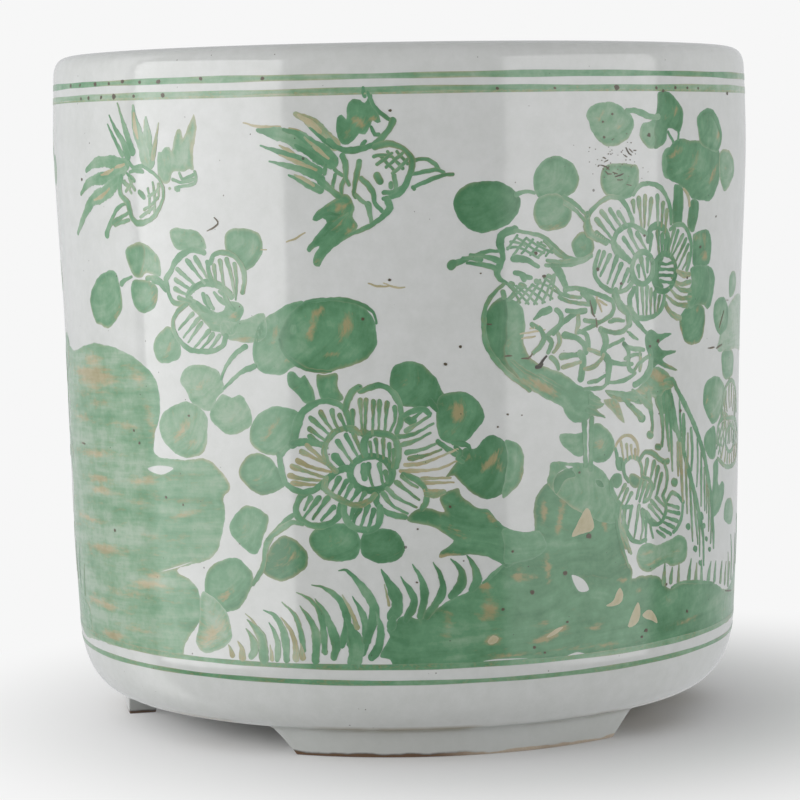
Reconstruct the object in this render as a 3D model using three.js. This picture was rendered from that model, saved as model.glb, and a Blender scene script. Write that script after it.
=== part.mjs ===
// A straight-sided porcelain jardiniere on a low foot ring that is cut away into three bracket feet.
// Units are millimetres and +Z is up. The origin is on the ground under the middle of the pot,
// the front faces -Y, and an azimuth is counted from the front towards +X.

import * as THREE from 'three';

// ---- Driving dimensions -------------------------------------------------------------------------

const TOTAL_HEIGHT = 236;

// The outside of the wall: it flares slowly from the rounded bottom corner to a faint shoulder.
const CORNER_TOP = { radius: 119.2, height: 31 };
const LOWER_WALL = { radius: 121.3, height: 85 };
const MIDDLE_WALL = { radius: 122.7, height: 150 };
const SHOULDER = { radius: 124.8, height: 202 };
const LIP_START = { radius: 124.2, height: 228.5 };

// The rolled lip, from its outer edge over the crown to the inside.
const LIP_CROWN_RADIUS = 117.5;
const LIP_INNER = { radius: 113.8, height: 230 };

// The rounded bottom corner, which ends at the seam where the feet were luted on.
const SEAM = { radius: 108, height: 10.15 };
const CORNER_FULLNESS = { radius: 117.4, height: 14.5 };

// The inside of the wall, with a coved corner down to the floor.
const INNER_SHOULDER = { radius: 114.6, height: 202 };
const INNER_MIDDLE = { radius: 112.6, height: 120 };
const COVE_TOP = { radius: 109.6, height: 40 };
const FLOOR_TOP = 22;
const COVE_FOOT_RADIUS = 97;

// The thrown floor disc is let into the wall's inward flange.
const FLOOR_DISC_RADIUS = 90;
const DRAIN_HOLE_RADIUS = 10;
const DRAIN_EDGE_ROUNDING = 1.5;

// The foot ring and the three feet that are left of it.
const FOOT_COUNT = 3;
const FRONT_FOOT_AZIMUTH = 10.6;
const FOOT_OUTER_TOP = 104.6;
const FOOT_OUTER_BOTTOM = 103.2;
const FOOT_INNER_TOP = 92.4;
const FOOT_INNER_BOTTOM = 93.6;
const FOOT_HALF_SPAN_TOP = 38.2;
const FOOT_HALF_SPAN_BOTTOM = 32.6;
const FOOT_END_CHAMFER = 0.9;
const FOOT_CHAMFER_HEIGHT = 1.2;

// The cut ends of a foot lean out slowly up to the flare level, then quickly: this is how far each part reaches.
const FOOT_FLARE_HEIGHT = 8.2;
const FOOT_FLARE_SHARE = 0.7;

// How finely the round forms are cut into facets.
const TURNS = 96;
const STEPS_PER_CURVE = { LineCurve: 1, QuadraticBezierCurve: 5, SplineCurve: 6 };
const FOOT_STEPS = 18;

// ---- Finishes -----------------------------------------------------------------------------------

const GLAZE = { color: '#dfe3e0', roughness: 0.12, metalness: 0 };
const SHADED_GLAZE = { color: '#cfd3cf', roughness: 0.2, metalness: 0 };

// ---- Helpers ------------------------------------------------------------------------------------

const radians = THREE.MathUtils.degToRad;

// Turns a closed half-section, drawn as radius against height, about the upright axis.
function turned(section) {
  const geometry = new THREE.LatheGeometry(section, TURNS);
  geometry.rotateX(Math.PI / 2);
  return geometry;
}

function ceramicMesh(name, geometry, finish) {
  const mesh = new THREE.Mesh(geometry, new THREE.MeshStandardMaterial(finish));
  mesh.name = name;
  return mesh;
}

function point({ radius, height }) {
  return new THREE.Vector2(radius, height);
}

// ---- Wall ---------------------------------------------------------------------------------------

// One thrown cylinder: flange, rounded corner, outer wall, lip, inner wall and cove.
function potWall() {
  const outline = new THREE.Path();
  outline.moveTo(FLOOR_DISC_RADIUS, SEAM.height);
  outline.lineTo(SEAM.radius, SEAM.height);
  outline.quadraticCurveTo(CORNER_FULLNESS.radius, CORNER_FULLNESS.height, CORNER_TOP.radius, CORNER_TOP.height);
  outline.splineThru([LOWER_WALL, MIDDLE_WALL, SHOULDER, LIP_START].map(point));
  outline.quadraticCurveTo(LIP_START.radius, TOTAL_HEIGHT, LIP_CROWN_RADIUS, TOTAL_HEIGHT);
  outline.quadraticCurveTo(LIP_INNER.radius, TOTAL_HEIGHT, LIP_INNER.radius, LIP_INNER.height);
  outline.splineThru([INNER_SHOULDER, INNER_MIDDLE, COVE_TOP].map(point));
  outline.quadraticCurveTo(COVE_TOP.radius, FLOOR_TOP, COVE_FOOT_RADIUS, FLOOR_TOP);
  outline.lineTo(FLOOR_DISC_RADIUS, FLOOR_TOP);
  outline.lineTo(FLOOR_DISC_RADIUS, SEAM.height);
  return turned(sectionPoints(outline));
}

// The points of an outline: none between the ends of a straight run, more on a curve, and the last is the first.
function sectionPoints(outline) {
  const points = [];
  for (const curve of outline.curves) {
    points.push(...curve.getPoints(STEPS_PER_CURVE[curve.type]).slice(0, -1));
  }
  return [...points, points[0].clone()];
}

// ---- Floor --------------------------------------------------------------------------------------

// A flat disc with a drain hole, whose upper edge is rounded under the glaze.
function floorDisc() {
  const outline = new THREE.Path();
  outline.moveTo(DRAIN_HOLE_RADIUS, SEAM.height);
  outline.lineTo(FLOOR_DISC_RADIUS, SEAM.height);
  outline.lineTo(FLOOR_DISC_RADIUS, FLOOR_TOP);
  outline.lineTo(DRAIN_HOLE_RADIUS + DRAIN_EDGE_ROUNDING, FLOOR_TOP);
  outline.lineTo(DRAIN_HOLE_RADIUS, FLOOR_TOP - DRAIN_EDGE_ROUNDING);
  outline.lineTo(DRAIN_HOLE_RADIUS, SEAM.height);
  return turned(sectionPoints(outline));
}

// ---- Feet ---------------------------------------------------------------------------------------

// The levels of a foot from the ground up: how far it spans each way, and its two radii there.
function footLevels() {
  const flareSpan = THREE.MathUtils.lerp(FOOT_HALF_SPAN_BOTTOM, FOOT_HALF_SPAN_TOP, FOOT_FLARE_SHARE);
  const levels = [
    { height: 0, halfSpan: FOOT_HALF_SPAN_BOTTOM - FOOT_END_CHAMFER },
    { height: FOOT_CHAMFER_HEIGHT, halfSpan: FOOT_HALF_SPAN_BOTTOM },
    { height: FOOT_FLARE_HEIGHT, halfSpan: flareSpan },
    { height: SEAM.height, halfSpan: FOOT_HALF_SPAN_TOP },
  ];
  for (const level of levels) {
    const rise = level.height / SEAM.height;
    level.outer = THREE.MathUtils.lerp(FOOT_OUTER_BOTTOM, FOOT_OUTER_TOP, rise);
    level.inner = THREE.MathUtils.lerp(FOOT_INNER_BOTTOM, FOOT_INNER_TOP, rise);
  }
  return levels;
}

// A curved block cut from the foot ring. Each step along it is a loop of points: up the outside, down the inside.
function bracketFoot(centreAzimuth) {
  const levels = footLevels();
  const positions = [];
  for (let step = 0; step <= FOOT_STEPS; step += 1) {
    const across = (2 * step) / FOOT_STEPS - 1;
    const loop = [
      ...levels.map((level) => ({ ...level, radius: level.outer })),
      ...levels.map((level) => ({ ...level, radius: level.inner })).reverse(),
    ];
    for (const { radius, height, halfSpan } of loop) {
      const azimuth = radians(centreAzimuth + across * halfSpan);
      positions.push(radius * Math.sin(azimuth), -radius * Math.cos(azimuth), height);
    }
  }

  const loopSize = 2 * levels.length;
  const faces = [];
  for (let step = 0; step < FOOT_STEPS; step += 1) {
    for (let corner = 0; corner < loopSize; corner += 1) {
      const a = step * loopSize + corner;
      const b = step * loopSize + ((corner + 1) % loopSize);
      faces.push(a, a + loopSize, b + loopSize, a, b + loopSize, b);
    }
  }

  // The two cut ends, each a stack of quads between the outer and the inner edge.
  const last = FOOT_STEPS * loopSize;
  for (let level = 0; level + 1 < levels.length; level += 1) {
    const outer = level;
    const inner = loopSize - 1 - level;
    faces.push(outer, outer + 1, inner - 1, outer, inner - 1, inner);
    faces.push(last + outer, last + inner - 1, last + outer + 1, last + outer, last + inner, last + inner - 1);
  }

  const geometry = new THREE.BufferGeometry();
  geometry.setAttribute('position', new THREE.Float32BufferAttribute(positions, 3));
  geometry.setIndex(faces);
  geometry.computeVertexNormals();
  return geometry;
}

// ---- The jardiniere -----------------------------------------------------------------------------

const jardiniere = new THREE.Group();
jardiniere.add(ceramicMesh('pot_wall', potWall(), GLAZE));
jardiniere.add(ceramicMesh('floor_disc', floorDisc(), SHADED_GLAZE));

const footNames = ['foot_front', 'foot_rear_right', 'foot_rear_left'];
footNames.forEach((name, index) => {
  const azimuth = FRONT_FOOT_AZIMUTH + (360 / FOOT_COUNT) * index;
  jardiniere.add(ceramicMesh(name, bracketFoot(azimuth), GLAZE));
});

export default jardiniere;
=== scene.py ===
# %% [markdown]
# # A painted porcelain jardiniere
# This file builds the looks of one glazed pot around a finished CAD model. The model is the frame: it says
# where each piece is and how large it is, in metres, with +Z up and the front of the pot facing -Y. First
# comes the frame, then the camera, the studio, the finishes, the turned body and at last the brush
# painting.

import math
import random

import bpy
import numpy as np
from mathutils import Matrix, Vector
from mathutils.geometry import delaunay_2d_cdt


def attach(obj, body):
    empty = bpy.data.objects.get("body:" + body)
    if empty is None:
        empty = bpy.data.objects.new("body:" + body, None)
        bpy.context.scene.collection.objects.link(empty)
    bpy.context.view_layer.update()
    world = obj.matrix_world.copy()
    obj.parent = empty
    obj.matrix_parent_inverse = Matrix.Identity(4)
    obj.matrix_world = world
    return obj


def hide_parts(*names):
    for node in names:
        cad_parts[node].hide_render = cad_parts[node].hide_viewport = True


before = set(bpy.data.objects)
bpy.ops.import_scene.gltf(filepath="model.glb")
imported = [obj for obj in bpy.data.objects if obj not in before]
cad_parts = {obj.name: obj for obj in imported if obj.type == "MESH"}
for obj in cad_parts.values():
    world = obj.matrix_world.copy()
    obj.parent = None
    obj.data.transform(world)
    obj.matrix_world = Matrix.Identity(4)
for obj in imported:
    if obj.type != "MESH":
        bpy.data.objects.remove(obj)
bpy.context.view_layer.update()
scene = bpy.context.scene
MM = 0.001
print("nodes:", sorted(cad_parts))

# %% [markdown]
# ## Camera
# The photograph was taken from about a metre away with a long lens, a little above the middle of the pot and
# looking down by five degrees. A far camera with a long lens is what keeps the sides of the pot so upright.

# %% Camera
CAMERA_DISTANCE = 1.03314
CAMERA_HEIGHT = 0.20303
CAMERA_PITCH = 0.0896
CAMERA_YAW = -0.0013
CAMERA_ROLL = -0.0159
LENS_MM = 127.72

camera_data = bpy.data.cameras.new("photo_camera")
camera_data.lens = LENS_MM
camera_data.sensor_width = 36.0
camera = bpy.data.objects.new("photo_camera", camera_data)
scene.collection.objects.link(camera)
camera.matrix_world = (
    Matrix.Translation((0, -CAMERA_DISTANCE, CAMERA_HEIGHT))
    @ Matrix.Rotation(-CAMERA_YAW, 4, "Z")
    @ Matrix.Rotation(math.pi / 2 - CAMERA_PITCH, 4, "X")
    @ Matrix.Rotation(CAMERA_ROLL, 4, "Z")
)
scene.camera = camera
scene.view_settings.view_transform = "Standard"
print("camera at", tuple(round(c, 3) for c in camera.location))

# %% [markdown]
# ## Node helpers
# Materials here are small node graphs. A few helpers keep them readable: one adds a node and sets its inputs,
# and the others are the kinds of node that come back often, such as Math, Mix and Noise.

# %% Node helpers
def add_node(tree, kind, inputs=(), **settings):
    """A new node, with its properties set and its inputs given a value or linked to a socket."""
    node = tree.nodes.new(kind)
    for key, value in settings.items():
        setattr(node, key, value)
    for key, value in dict(inputs).items():
        if isinstance(value, bpy.types.NodeSocket):
            tree.links.new(value, node.inputs[key])
        else:
            node.inputs[key].default_value = value
    return node


def math_node(tree, operation, *values, clamp=False):
    inputs = {index: value for index, value in enumerate(values)}
    return add_node(tree, "ShaderNodeMath", inputs, operation=operation, use_clamp=clamp).outputs[0]


def mix_colour(tree, factor, below, above):
    inputs = {0: factor, 6: below, 7: above}
    return add_node(tree, "ShaderNodeMix", inputs, data_type="RGBA").outputs[2]


def soft_step(tree, value, low, high):
    """0 below low, 1 above high, and smooth between them."""
    inputs = {"Value": value, "From Min": low, "From Max": high}
    node = add_node(tree, "ShaderNodeMapRange", inputs, interpolation_type="SMOOTHSTEP")
    return node.outputs[0]


def scaled(tree, vector, scale):
    """A Mapping node that stretches a pattern's coordinates."""
    inputs = {"Vector": vector, "Scale": scale}
    return add_node(tree, "ShaderNodeMapping", inputs).outputs[0]


def noise(tree, vector, scale, detail=2.0, roughness=0.5):
    inputs = {"Vector": vector, "Scale": scale, "Detail": detail, "Roughness": roughness}
    return add_node(tree, "ShaderNodeTexNoise", inputs).outputs["Fac"]


def rgb(red, green, blue):
    return (red, green, blue, 1.0)


# %% [markdown]
# ## Studio
# Two tall soft boxes stand in front of the pot, one on each side. Their edges are what draws the upright
# borders between bright and grey glaze in the photograph, so each box is placed by the two azimuths at
# which the wall mirrors its edges. The backdrop is white behind the pot and dimmer behind the camera. Near
# the pot the floor shows lit paper, where the pot's own shadow falls, and it fades to flat white further out.

# %% Soft boxes
BOX_DISTANCE = 1.4
BOX_LOW = -0.42
BOX_HIGH = 0.82
LEFT_BOX = {"azimuth": -66.4, "left": -0.652, "right": 0.812, "energy": 17.5}
RIGHT_BOX = {"azimuth": 62.8, "left": -0.823, "right": 0.672, "energy": 11.4}


def soft_box(name, azimuth, left, right, energy):
    """A panel that faces the pot from an azimuth in degrees, between two places along its own width in
    metres."""
    data = bpy.data.lights.new(name, "AREA")
    data.shape = "RECTANGLE"
    data.size = right - left
    data.size_y = BOX_HIGH - BOX_LOW
    data.energy = energy
    turn = math.radians(azimuth)
    outwards = Vector((math.sin(turn), -math.cos(turn), 0))
    along = Vector((math.cos(turn), math.sin(turn), 0))
    lamp = bpy.data.objects.new(name, data)
    lamp.location = outwards * BOX_DISTANCE + along * (left + right) / 2
    lamp.location.z = (BOX_LOW + BOX_HIGH) / 2
    lamp.rotation_euler = outwards.to_track_quat("Z", "Y").to_euler()
    scene.collection.objects.link(lamp)
    return lamp


soft_box("soft_box_left", **LEFT_BOX)
soft_box("soft_box_right", **RIGHT_BOX)


# %% Backdrop
PAPER_WHITE = rgb(0.93, 0.93, 0.93)
DIM_FRONT = rgb(0.225, 0.225, 0.225)
BRIGHT_BACK = rgb(0.64, 0.65, 0.66)
SIDE_GLOW = rgb(1.5, 1.5, 1.5)
BRIGHTENING = (-0.3, 0.75)
GLOW_START = (0.08, 0.2)
GLOW_END = (0.62, 0.15)
GLOW_SIDE = (-0.6, -0.8)


def studio_world():
    world = bpy.data.worlds.new("studio")
    scene.world = world
    world.use_nodes = True
    tree = world.node_tree
    tree.nodes.clear()
    way = add_node(tree, "ShaderNodeTexCoord").outputs["Generated"]
    split = add_node(tree, "ShaderNodeSeparateXYZ", {0: way})
    behind = soft_step(tree, split.outputs["Y"], *BRIGHTENING)
    grey = mix_colour(tree, behind, DIM_FRONT, BRIGHT_BACK)
    # The glaze mirrors a pale patch of backdrop beside the left soft box.
    path = add_node(tree, "ShaderNodeLightPath").outputs
    beside = math_node(tree, "MULTIPLY", soft_step(tree, split.outputs["Y"], *GLOW_END),
                       soft_step(tree, split.outputs["X"], *GLOW_SIDE))
    beside = math_node(tree, "MULTIPLY", beside, soft_step(tree, split.outputs["Y"], *GLOW_START))
    beside = math_node(tree, "MULTIPLY", beside, path["Is Glossy Ray"])
    grey = mix_colour(tree, beside, grey, SIDE_GLOW)
    colour = mix_colour(tree, path["Is Camera Ray"], grey, PAPER_WHITE)
    light = add_node(tree, "ShaderNodeBackground", {"Color": colour, "Strength": 1.0})
    add_node(tree, "ShaderNodeOutputWorld", {0: light.outputs[0]})


studio_world()


# %% Floor
FLOOR_SIZE = 8.0
SHADOW_CENTRE = (0.036, -0.014, 0.0)
SHADOW_CORE = 0.045
SHADOW_REACH = 0.235
COVERED_CORE = 0.07
COVERED_REACH = 0.115


def studio_floor():
    bpy.ops.object.select_all(action="DESELECT")
    bpy.ops.mesh.primitive_plane_add(size=FLOOR_SIZE, location=(0, 0, 0))
    floor = bpy.context.object
    floor.name = "studio_floor"
    floor.visible_glossy = False
    material = bpy.data.materials.new("pale_floor")
    material.use_nodes = True
    tree = material.node_tree
    tree.nodes.clear()
    place = add_node(tree, "ShaderNodeTexCoord").outputs["Object"]
    offset = add_node(tree, "ShaderNodeVectorMath", {0: place, 1: SHADOW_CENTRE}, operation="SUBTRACT")
    distance = add_node(tree, "ShaderNodeVectorMath", {0: offset.outputs[0]},
                        operation="LENGTH").outputs["Value"]
    fade = soft_step(tree, distance, SHADOW_CORE, SHADOW_REACH)
    seen = add_node(tree, "ShaderNodeLightPath").outputs["Is Camera Ray"]
    axis_distance = add_node(tree, "ShaderNodeVectorMath", {0: place}, operation="LENGTH").outputs["Value"]
    uncovered = soft_step(tree, axis_distance, COVERED_CORE, COVERED_REACH)
    white = math_node(tree, "MULTIPLY", math_node(tree, "MULTIPLY", fade, uncovered), seen)
    paper = add_node(tree, "ShaderNodeBsdfDiffuse", {"Color": rgb(0.8, 0.8, 0.8)}).outputs[0]
    glow = add_node(tree, "ShaderNodeEmission", {"Color": PAPER_WHITE, "Strength": 1.0}).outputs[0]
    shown = add_node(tree, "ShaderNodeMixShader", {0: white, 1: paper, 2: glow}).outputs[0]
    add_node(tree, "ShaderNodeOutputMaterial", {0: shown})
    floor.data.materials.append(material)


studio_floor()
print("studio ready")

# %% [markdown]
# ## Shared effects of the glaze
# A wood-fired or coal-fired white glaze is never quite even. It has a faint ripple that bends reflections,
# pale clouds, and fine dark specks of iron. These effects lie in the white glaze and over the painting
# alike, so each is a node group that every glazed material places with its own values.

# %% Effect groups
def new_group(name, inputs, outputs):
    """An empty node group with named sockets; inputs is a list of (name, kind, value)."""
    group = bpy.data.node_groups.new(name, "ShaderNodeTree")
    for title, kind, value in inputs:
        socket = group.interface.new_socket(title, in_out="INPUT", socket_type=kind)
        socket.default_value = value
    for title, kind in outputs:
        group.interface.new_socket(title, in_out="OUTPUT", socket_type=kind)
    return group, group.nodes.new("NodeGroupInput"), group.nodes.new("NodeGroupOutput")


def specks_group():
    """Iron specks: dark dots of uneven size, one to every few centimetres, and a finer dust between
    them."""
    inputs = [("Amount", "NodeSocketFloat", 0.5)]
    group, given, result = new_group("iron_specks", inputs, [("Mask", "NodeSocketFloat")])
    place = add_node(group, "ShaderNodeTexCoord").outputs["Object"]
    dots = []
    for scale, radius, rarity in ((75.0, 0.05, 0.62), (210.0, 0.07, 0.8), (430.0, 0.11, 0.9)):
        cells = add_node(group, "ShaderNodeTexVoronoi", {"Vector": place, "Scale": scale})
        chance = add_node(group, "ShaderNodeSeparateColor", {0: cells.outputs["Color"]})
        size = math_node(group, "MULTIPLY", chance.outputs["Green"], radius)
        inside = math_node(group, "LESS_THAN", cells.outputs["Distance"], size)
        rare = math_node(group, "GREATER_THAN", chance.outputs["Red"], rarity)
        dots.append(math_node(group, "MULTIPLY", inside, rare))
    every = math_node(group, "MAXIMUM", math_node(group, "MAXIMUM", *dots[:2]), dots[2])
    mask = math_node(group, "MULTIPLY", every, given.outputs["Amount"])
    group.links.new(mask, result.inputs["Mask"])
    return group


def ripple_group():
    """The faint unevenness of a glazed surface, as a height."""
    inputs = [("Size", "NodeSocketFloat", 60.0)]
    group, given, result = new_group("glaze_ripple", inputs, [("Height", "NodeSocketFloat")])
    place = add_node(group, "ShaderNodeTexCoord").outputs["Object"]
    waves = noise(group, place, given.outputs["Size"], detail=1.0)
    peel = noise(group, place, 900.0, detail=1.0)
    fine = math_node(group, "MULTIPLY", peel, 0.06)
    group.links.new(math_node(group, "ADD", waves, fine), result.inputs["Height"])
    return group


def clouds_group():
    """Slow changes of tone in a glaze, from -1 to 1, drawn out sideways as the throwing rings are."""
    group, _, result = new_group("glaze_clouds", [], [("Value", "NodeSocketFloat")])
    place = add_node(group, "ShaderNodeTexCoord").outputs["Object"]
    rings = scaled(group, place, (1.0, 1.0, 2.6))
    slow = noise(group, rings, 14.0, detail=3.0)
    value = add_node(group, "ShaderNodeMapRange", {"Value": slow, "From Min": 0.3, "From Max": 0.7,
                                                   "To Min": -1.0, "To Max": 1.0}).outputs[0]
    group.links.new(value, result.inputs["Value"])
    return group


iron_specks = specks_group()
glaze_ripple = ripple_group()
glaze_clouds = clouds_group()


def place_group(tree, group, **values):
    """A shared effect, placed in a material with its own values."""
    node = add_node(tree, "ShaderNodeGroup", node_tree=group)
    for name, value in values.items():
        node.inputs[name].default_value = value
    return node


def glossy_material(name, colour_of, roughness, bump=0.00006):
    """A glazed material; colour_of(tree) returns the socket that colours it."""
    material = bpy.data.materials.new(name)
    material.use_nodes = True
    tree = material.node_tree
    shader = tree.nodes["Principled BSDF"]
    shader.inputs["Roughness"].default_value = roughness
    shader.inputs["IOR"].default_value = 1.52
    ripple = place_group(tree, glaze_ripple, Size=60.0)
    inputs = {"Height": ripple.outputs["Height"], "Strength": 1.0, "Distance": bump}
    raised = add_node(tree, "ShaderNodeBump", inputs)
    tree.links.new(raised.outputs["Normal"], shader.inputs["Normal"])
    tree.links.new(colour_of(tree), shader.inputs["Base Color"])
    return material


# %% White glaze
SEAM_HEIGHT = 10.15


def white_glaze_colour(tree):
    clouds = place_group(tree, glaze_clouds).outputs["Value"]
    place = add_node(tree, "ShaderNodeTexCoord").outputs["Object"]
    mottle = math_node(tree, "SUBTRACT", noise(tree, place, 160.0, detail=5.0, roughness=0.7), 0.5)
    tone = math_node(tree, "MULTIPLY_ADD", clouds, 0.3, 0.5)
    tone = math_node(tree, "MULTIPLY_ADD", mottle, 2.2, tone, clamp=True)
    glaze = mix_colour(tree, tone, rgb(0.68, 0.695, 0.675), rgb(0.755, 0.765, 0.755))
    specks = place_group(tree, iron_specks, Amount=0.75).outputs["Mask"]
    spotted = mix_colour(tree, specks, glaze, rgb(0.12, 0.1, 0.085))
    # A patchy brown band darkens the glaze along the seam above the feet.
    height = add_node(tree, "ShaderNodeSeparateXYZ", {0: place}).outputs["Z"]
    away = math_node(tree, "ABSOLUTE", math_node(tree, "SUBTRACT", height, SEAM_HEIGHT * MM))
    near = soft_step(tree, away, 0.0021, 0.0002)
    stains = soft_step(tree, noise(tree, place, 34.0, detail=3.0), 0.42, 0.62)
    seam_darkening = math_node(tree, "MULTIPLY", near, stains)
    return mix_colour(tree, math_node(tree, "MULTIPLY", seam_darkening, 0.8), spotted, rgb(0.34, 0.28, 0.17))


white_glaze = glossy_material("white_glaze", white_glaze_colour, 0.09)


# %% [markdown]
# ## Turned pieces
# A potter throws the wall and the floor on a wheel, so both are bodies of revolution. In Blender that can
# be a Screw modifier or, as here, one ring of points that is extruded and scaled from station to station
# along the half-section. Each ring then sits exactly where the section says, and the last one is bridged to
# the first.

# %% Section of the wall
WALL_STATIONS = ((31, 119.15), (46, 119.85), (62, 120.55), (88, 121.2), (120, 121.75), (150, 122.55),
                 (180, 123.9), (202, 124.58), (216, 124.42), (228.5, 124.0))
SEAM_RADIUS = 108.0
FLOOR_RADIUS = 90.0
FLOOR_TOP = 22.0
RIM_HEIGHT = 236.0
LIP_START = (124.0, 228.5)
LIP_CROWN_RADIUS = 117.5
LIP_INSIDE = (113.8, 230.0)
COVE_TOP = (109.6, 40.0)
COVE_FOOT_RADIUS = 97.0
INSIDE_STATIONS = ((40, 109.6), (120, 112.6), (202, 114.6), (230, 113.8))


def through(stations, at):
    """A smooth curve through (place, value) stations, by the slope between each one's neighbours."""
    places, values = (np.array(column, float) for column in zip(*stations))
    slopes = np.gradient(values, places)
    at = np.clip(np.asarray(at, float), places[0], places[-1])
    span = np.clip(np.searchsorted(places, at) - 1, 0, len(places) - 2)
    width = places[span + 1] - places[span]
    t = (at - places[span]) / width
    ease = t * t * (3 - 2 * t)
    start = t * (1 - t) ** 2 * width * slopes[span]
    end = -(t * t) * (1 - t) * width * slopes[span + 1]
    return values[span] * (1 - ease) + values[span + 1] * ease + start + end


CORNER = ((SEAM_RADIUS, SEAM_HEIGHT), (117.4, 14.5), WALL_STATIONS[0][::-1])


def wall_radius(height):
    """The outside of the wall at a height, both in millimetres: the rounded corner, then the flaring
    wall."""
    (r0, z0), (r1, z1), (r2, z2) = CORNER
    height = np.asarray(height, float)
    bend, slope = z0 - 2 * z1 + z2, z1 - z0
    rise = np.clip(height, z0, z2) - z0
    t = (np.sqrt(slope ** 2 + bend * rise) - slope) / bend
    corner_radius = (1 - t) ** 2 * r0 + 2 * t * (1 - t) * r1 + t * t * r2
    return np.where(height < z2, corner_radius, through(WALL_STATIONS, height))


def corner(start, control, end, steps):
    """Points of a quarter-round from start to end, leaving out the start."""
    turned = []
    for step in range(1, steps + 1):
        t = step / steps
        turned.append(tuple((1 - t) ** 2 * a + 2 * t * (1 - t) * b + t * t * c
                            for a, b, c in zip(start, control, end)))
    return turned


def wall_section():
    """(radius, height) round the wall: flange, corner, outside, lip, inside, cove."""
    middle_of_flange = (FLOOR_RADIUS + SEAM_RADIUS) / 2
    points = [(radius, SEAM_HEIGHT) for radius in (FLOOR_RADIUS, middle_of_flange, SEAM_RADIUS)]
    points += corner(*CORNER, 12)
    outside = np.linspace(CORNER[2][1], LIP_START[1], 40)[1:]
    points += [(float(wall_radius(z)), float(z)) for z in outside]
    crown = (LIP_CROWN_RADIUS, RIM_HEIGHT)
    points += corner(LIP_START, (LIP_START[0], RIM_HEIGHT), crown, 8)
    points += corner(crown, (LIP_INSIDE[0], RIM_HEIGHT), LIP_INSIDE, 8)
    inside = np.linspace(LIP_INSIDE[1], COVE_TOP[1], 20)[1:]
    points += [(float(through(INSIDE_STATIONS, z)), float(z)) for z in inside]
    points += corner(COVE_TOP, (COVE_TOP[0], FLOOR_TOP), (COVE_FOOT_RADIUS, FLOOR_TOP), 8)
    points += [(FLOOR_RADIUS, FLOOR_TOP)]
    return points


# %% Turning
AROUND = 256


def turned_piece(name, section, material):
    """One ring of points carried along a closed section, then bridged back to its start."""
    bpy.ops.object.select_all(action="DESELECT")
    (radius, height), rest = section[0], section[1:]
    bpy.ops.mesh.primitive_circle_add(vertices=AROUND, radius=radius * MM, location=(0, 0, height * MM))
    piece = bpy.context.object
    piece.name = name
    bpy.ops.object.mode_set(mode="EDIT")
    bpy.ops.mesh.select_mode(type="EDGE")
    bpy.ops.mesh.select_all(action="SELECT")
    for next_radius, next_height in rest:
        rise = (0, 0, (next_height - height) * MM)
        bpy.ops.mesh.extrude_region_move(TRANSFORM_OT_translate={"value": rise})
        growth = next_radius / radius
        bpy.ops.transform.resize(value=(growth, growth, 1), center_override=(0, 0, 0))
        radius, height = next_radius, next_height
    bpy.ops.mesh.select_all(action="DESELECT")
    bpy.ops.mesh.select_non_manifold()
    bpy.ops.mesh.bridge_edge_loops()
    bpy.ops.mesh.select_all(action="SELECT")
    bpy.ops.mesh.normals_make_consistent(inside=False)
    bpy.ops.object.mode_set(mode="OBJECT")
    bpy.ops.object.transform_apply(location=True, rotation=True, scale=True)
    bpy.ops.object.shade_smooth_by_angle(angle=math.radians(50))
    piece.data.materials.clear()
    piece.data.materials.append(material)
    print(name, len(piece.data.polygons), "faces")
    return piece


wall = turned_piece("glazed_wall", wall_section(), white_glaze)
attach(wall, "root")
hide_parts("pot_wall")

# %% Floor disc
DRAIN_RADIUS = 10.0
DRAIN_ROUNDING = 1.5
HALFWAY = 50.0
drain_top = (DRAIN_RADIUS + DRAIN_ROUNDING, FLOOR_TOP)
drain_side = (DRAIN_RADIUS, FLOOR_TOP - DRAIN_ROUNDING)
floor_section = [(radius, SEAM_HEIGHT) for radius in (DRAIN_RADIUS, HALFWAY, FLOOR_RADIUS)]
floor_section += [(FLOOR_RADIUS, FLOOR_TOP), (HALFWAY, FLOOR_TOP), drain_top]
floor_section += corner(drain_top, (DRAIN_RADIUS, FLOOR_TOP), drain_side, 4)
floor_disc = turned_piece("glazed_floor", floor_section, white_glaze)
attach(floor_disc, "root")
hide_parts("floor_disc")

# %% [markdown]
# ## Feet
# The pot stands on a turned ring of clay that was cut away into three curved feet. One foot is a short arc
# of that ring, so its section is drawn once and spun about the pot's axis. Its ends slant inwards towards
# the ground: the spun block is cut into levels, and each level is drawn together a little. A bevel then
# wears the edges. The underside was wiped clean of glaze, so the clay shows there and burned brown where
# the glaze stops.

# %% Foot finish
CLAY_TOP = 0.0009
CLAY_BORDER = 0.0003
SCORCH_HEIGHT = 0.0010
SCORCH_START = 0.005
SCORCH_END = 0.03


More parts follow.
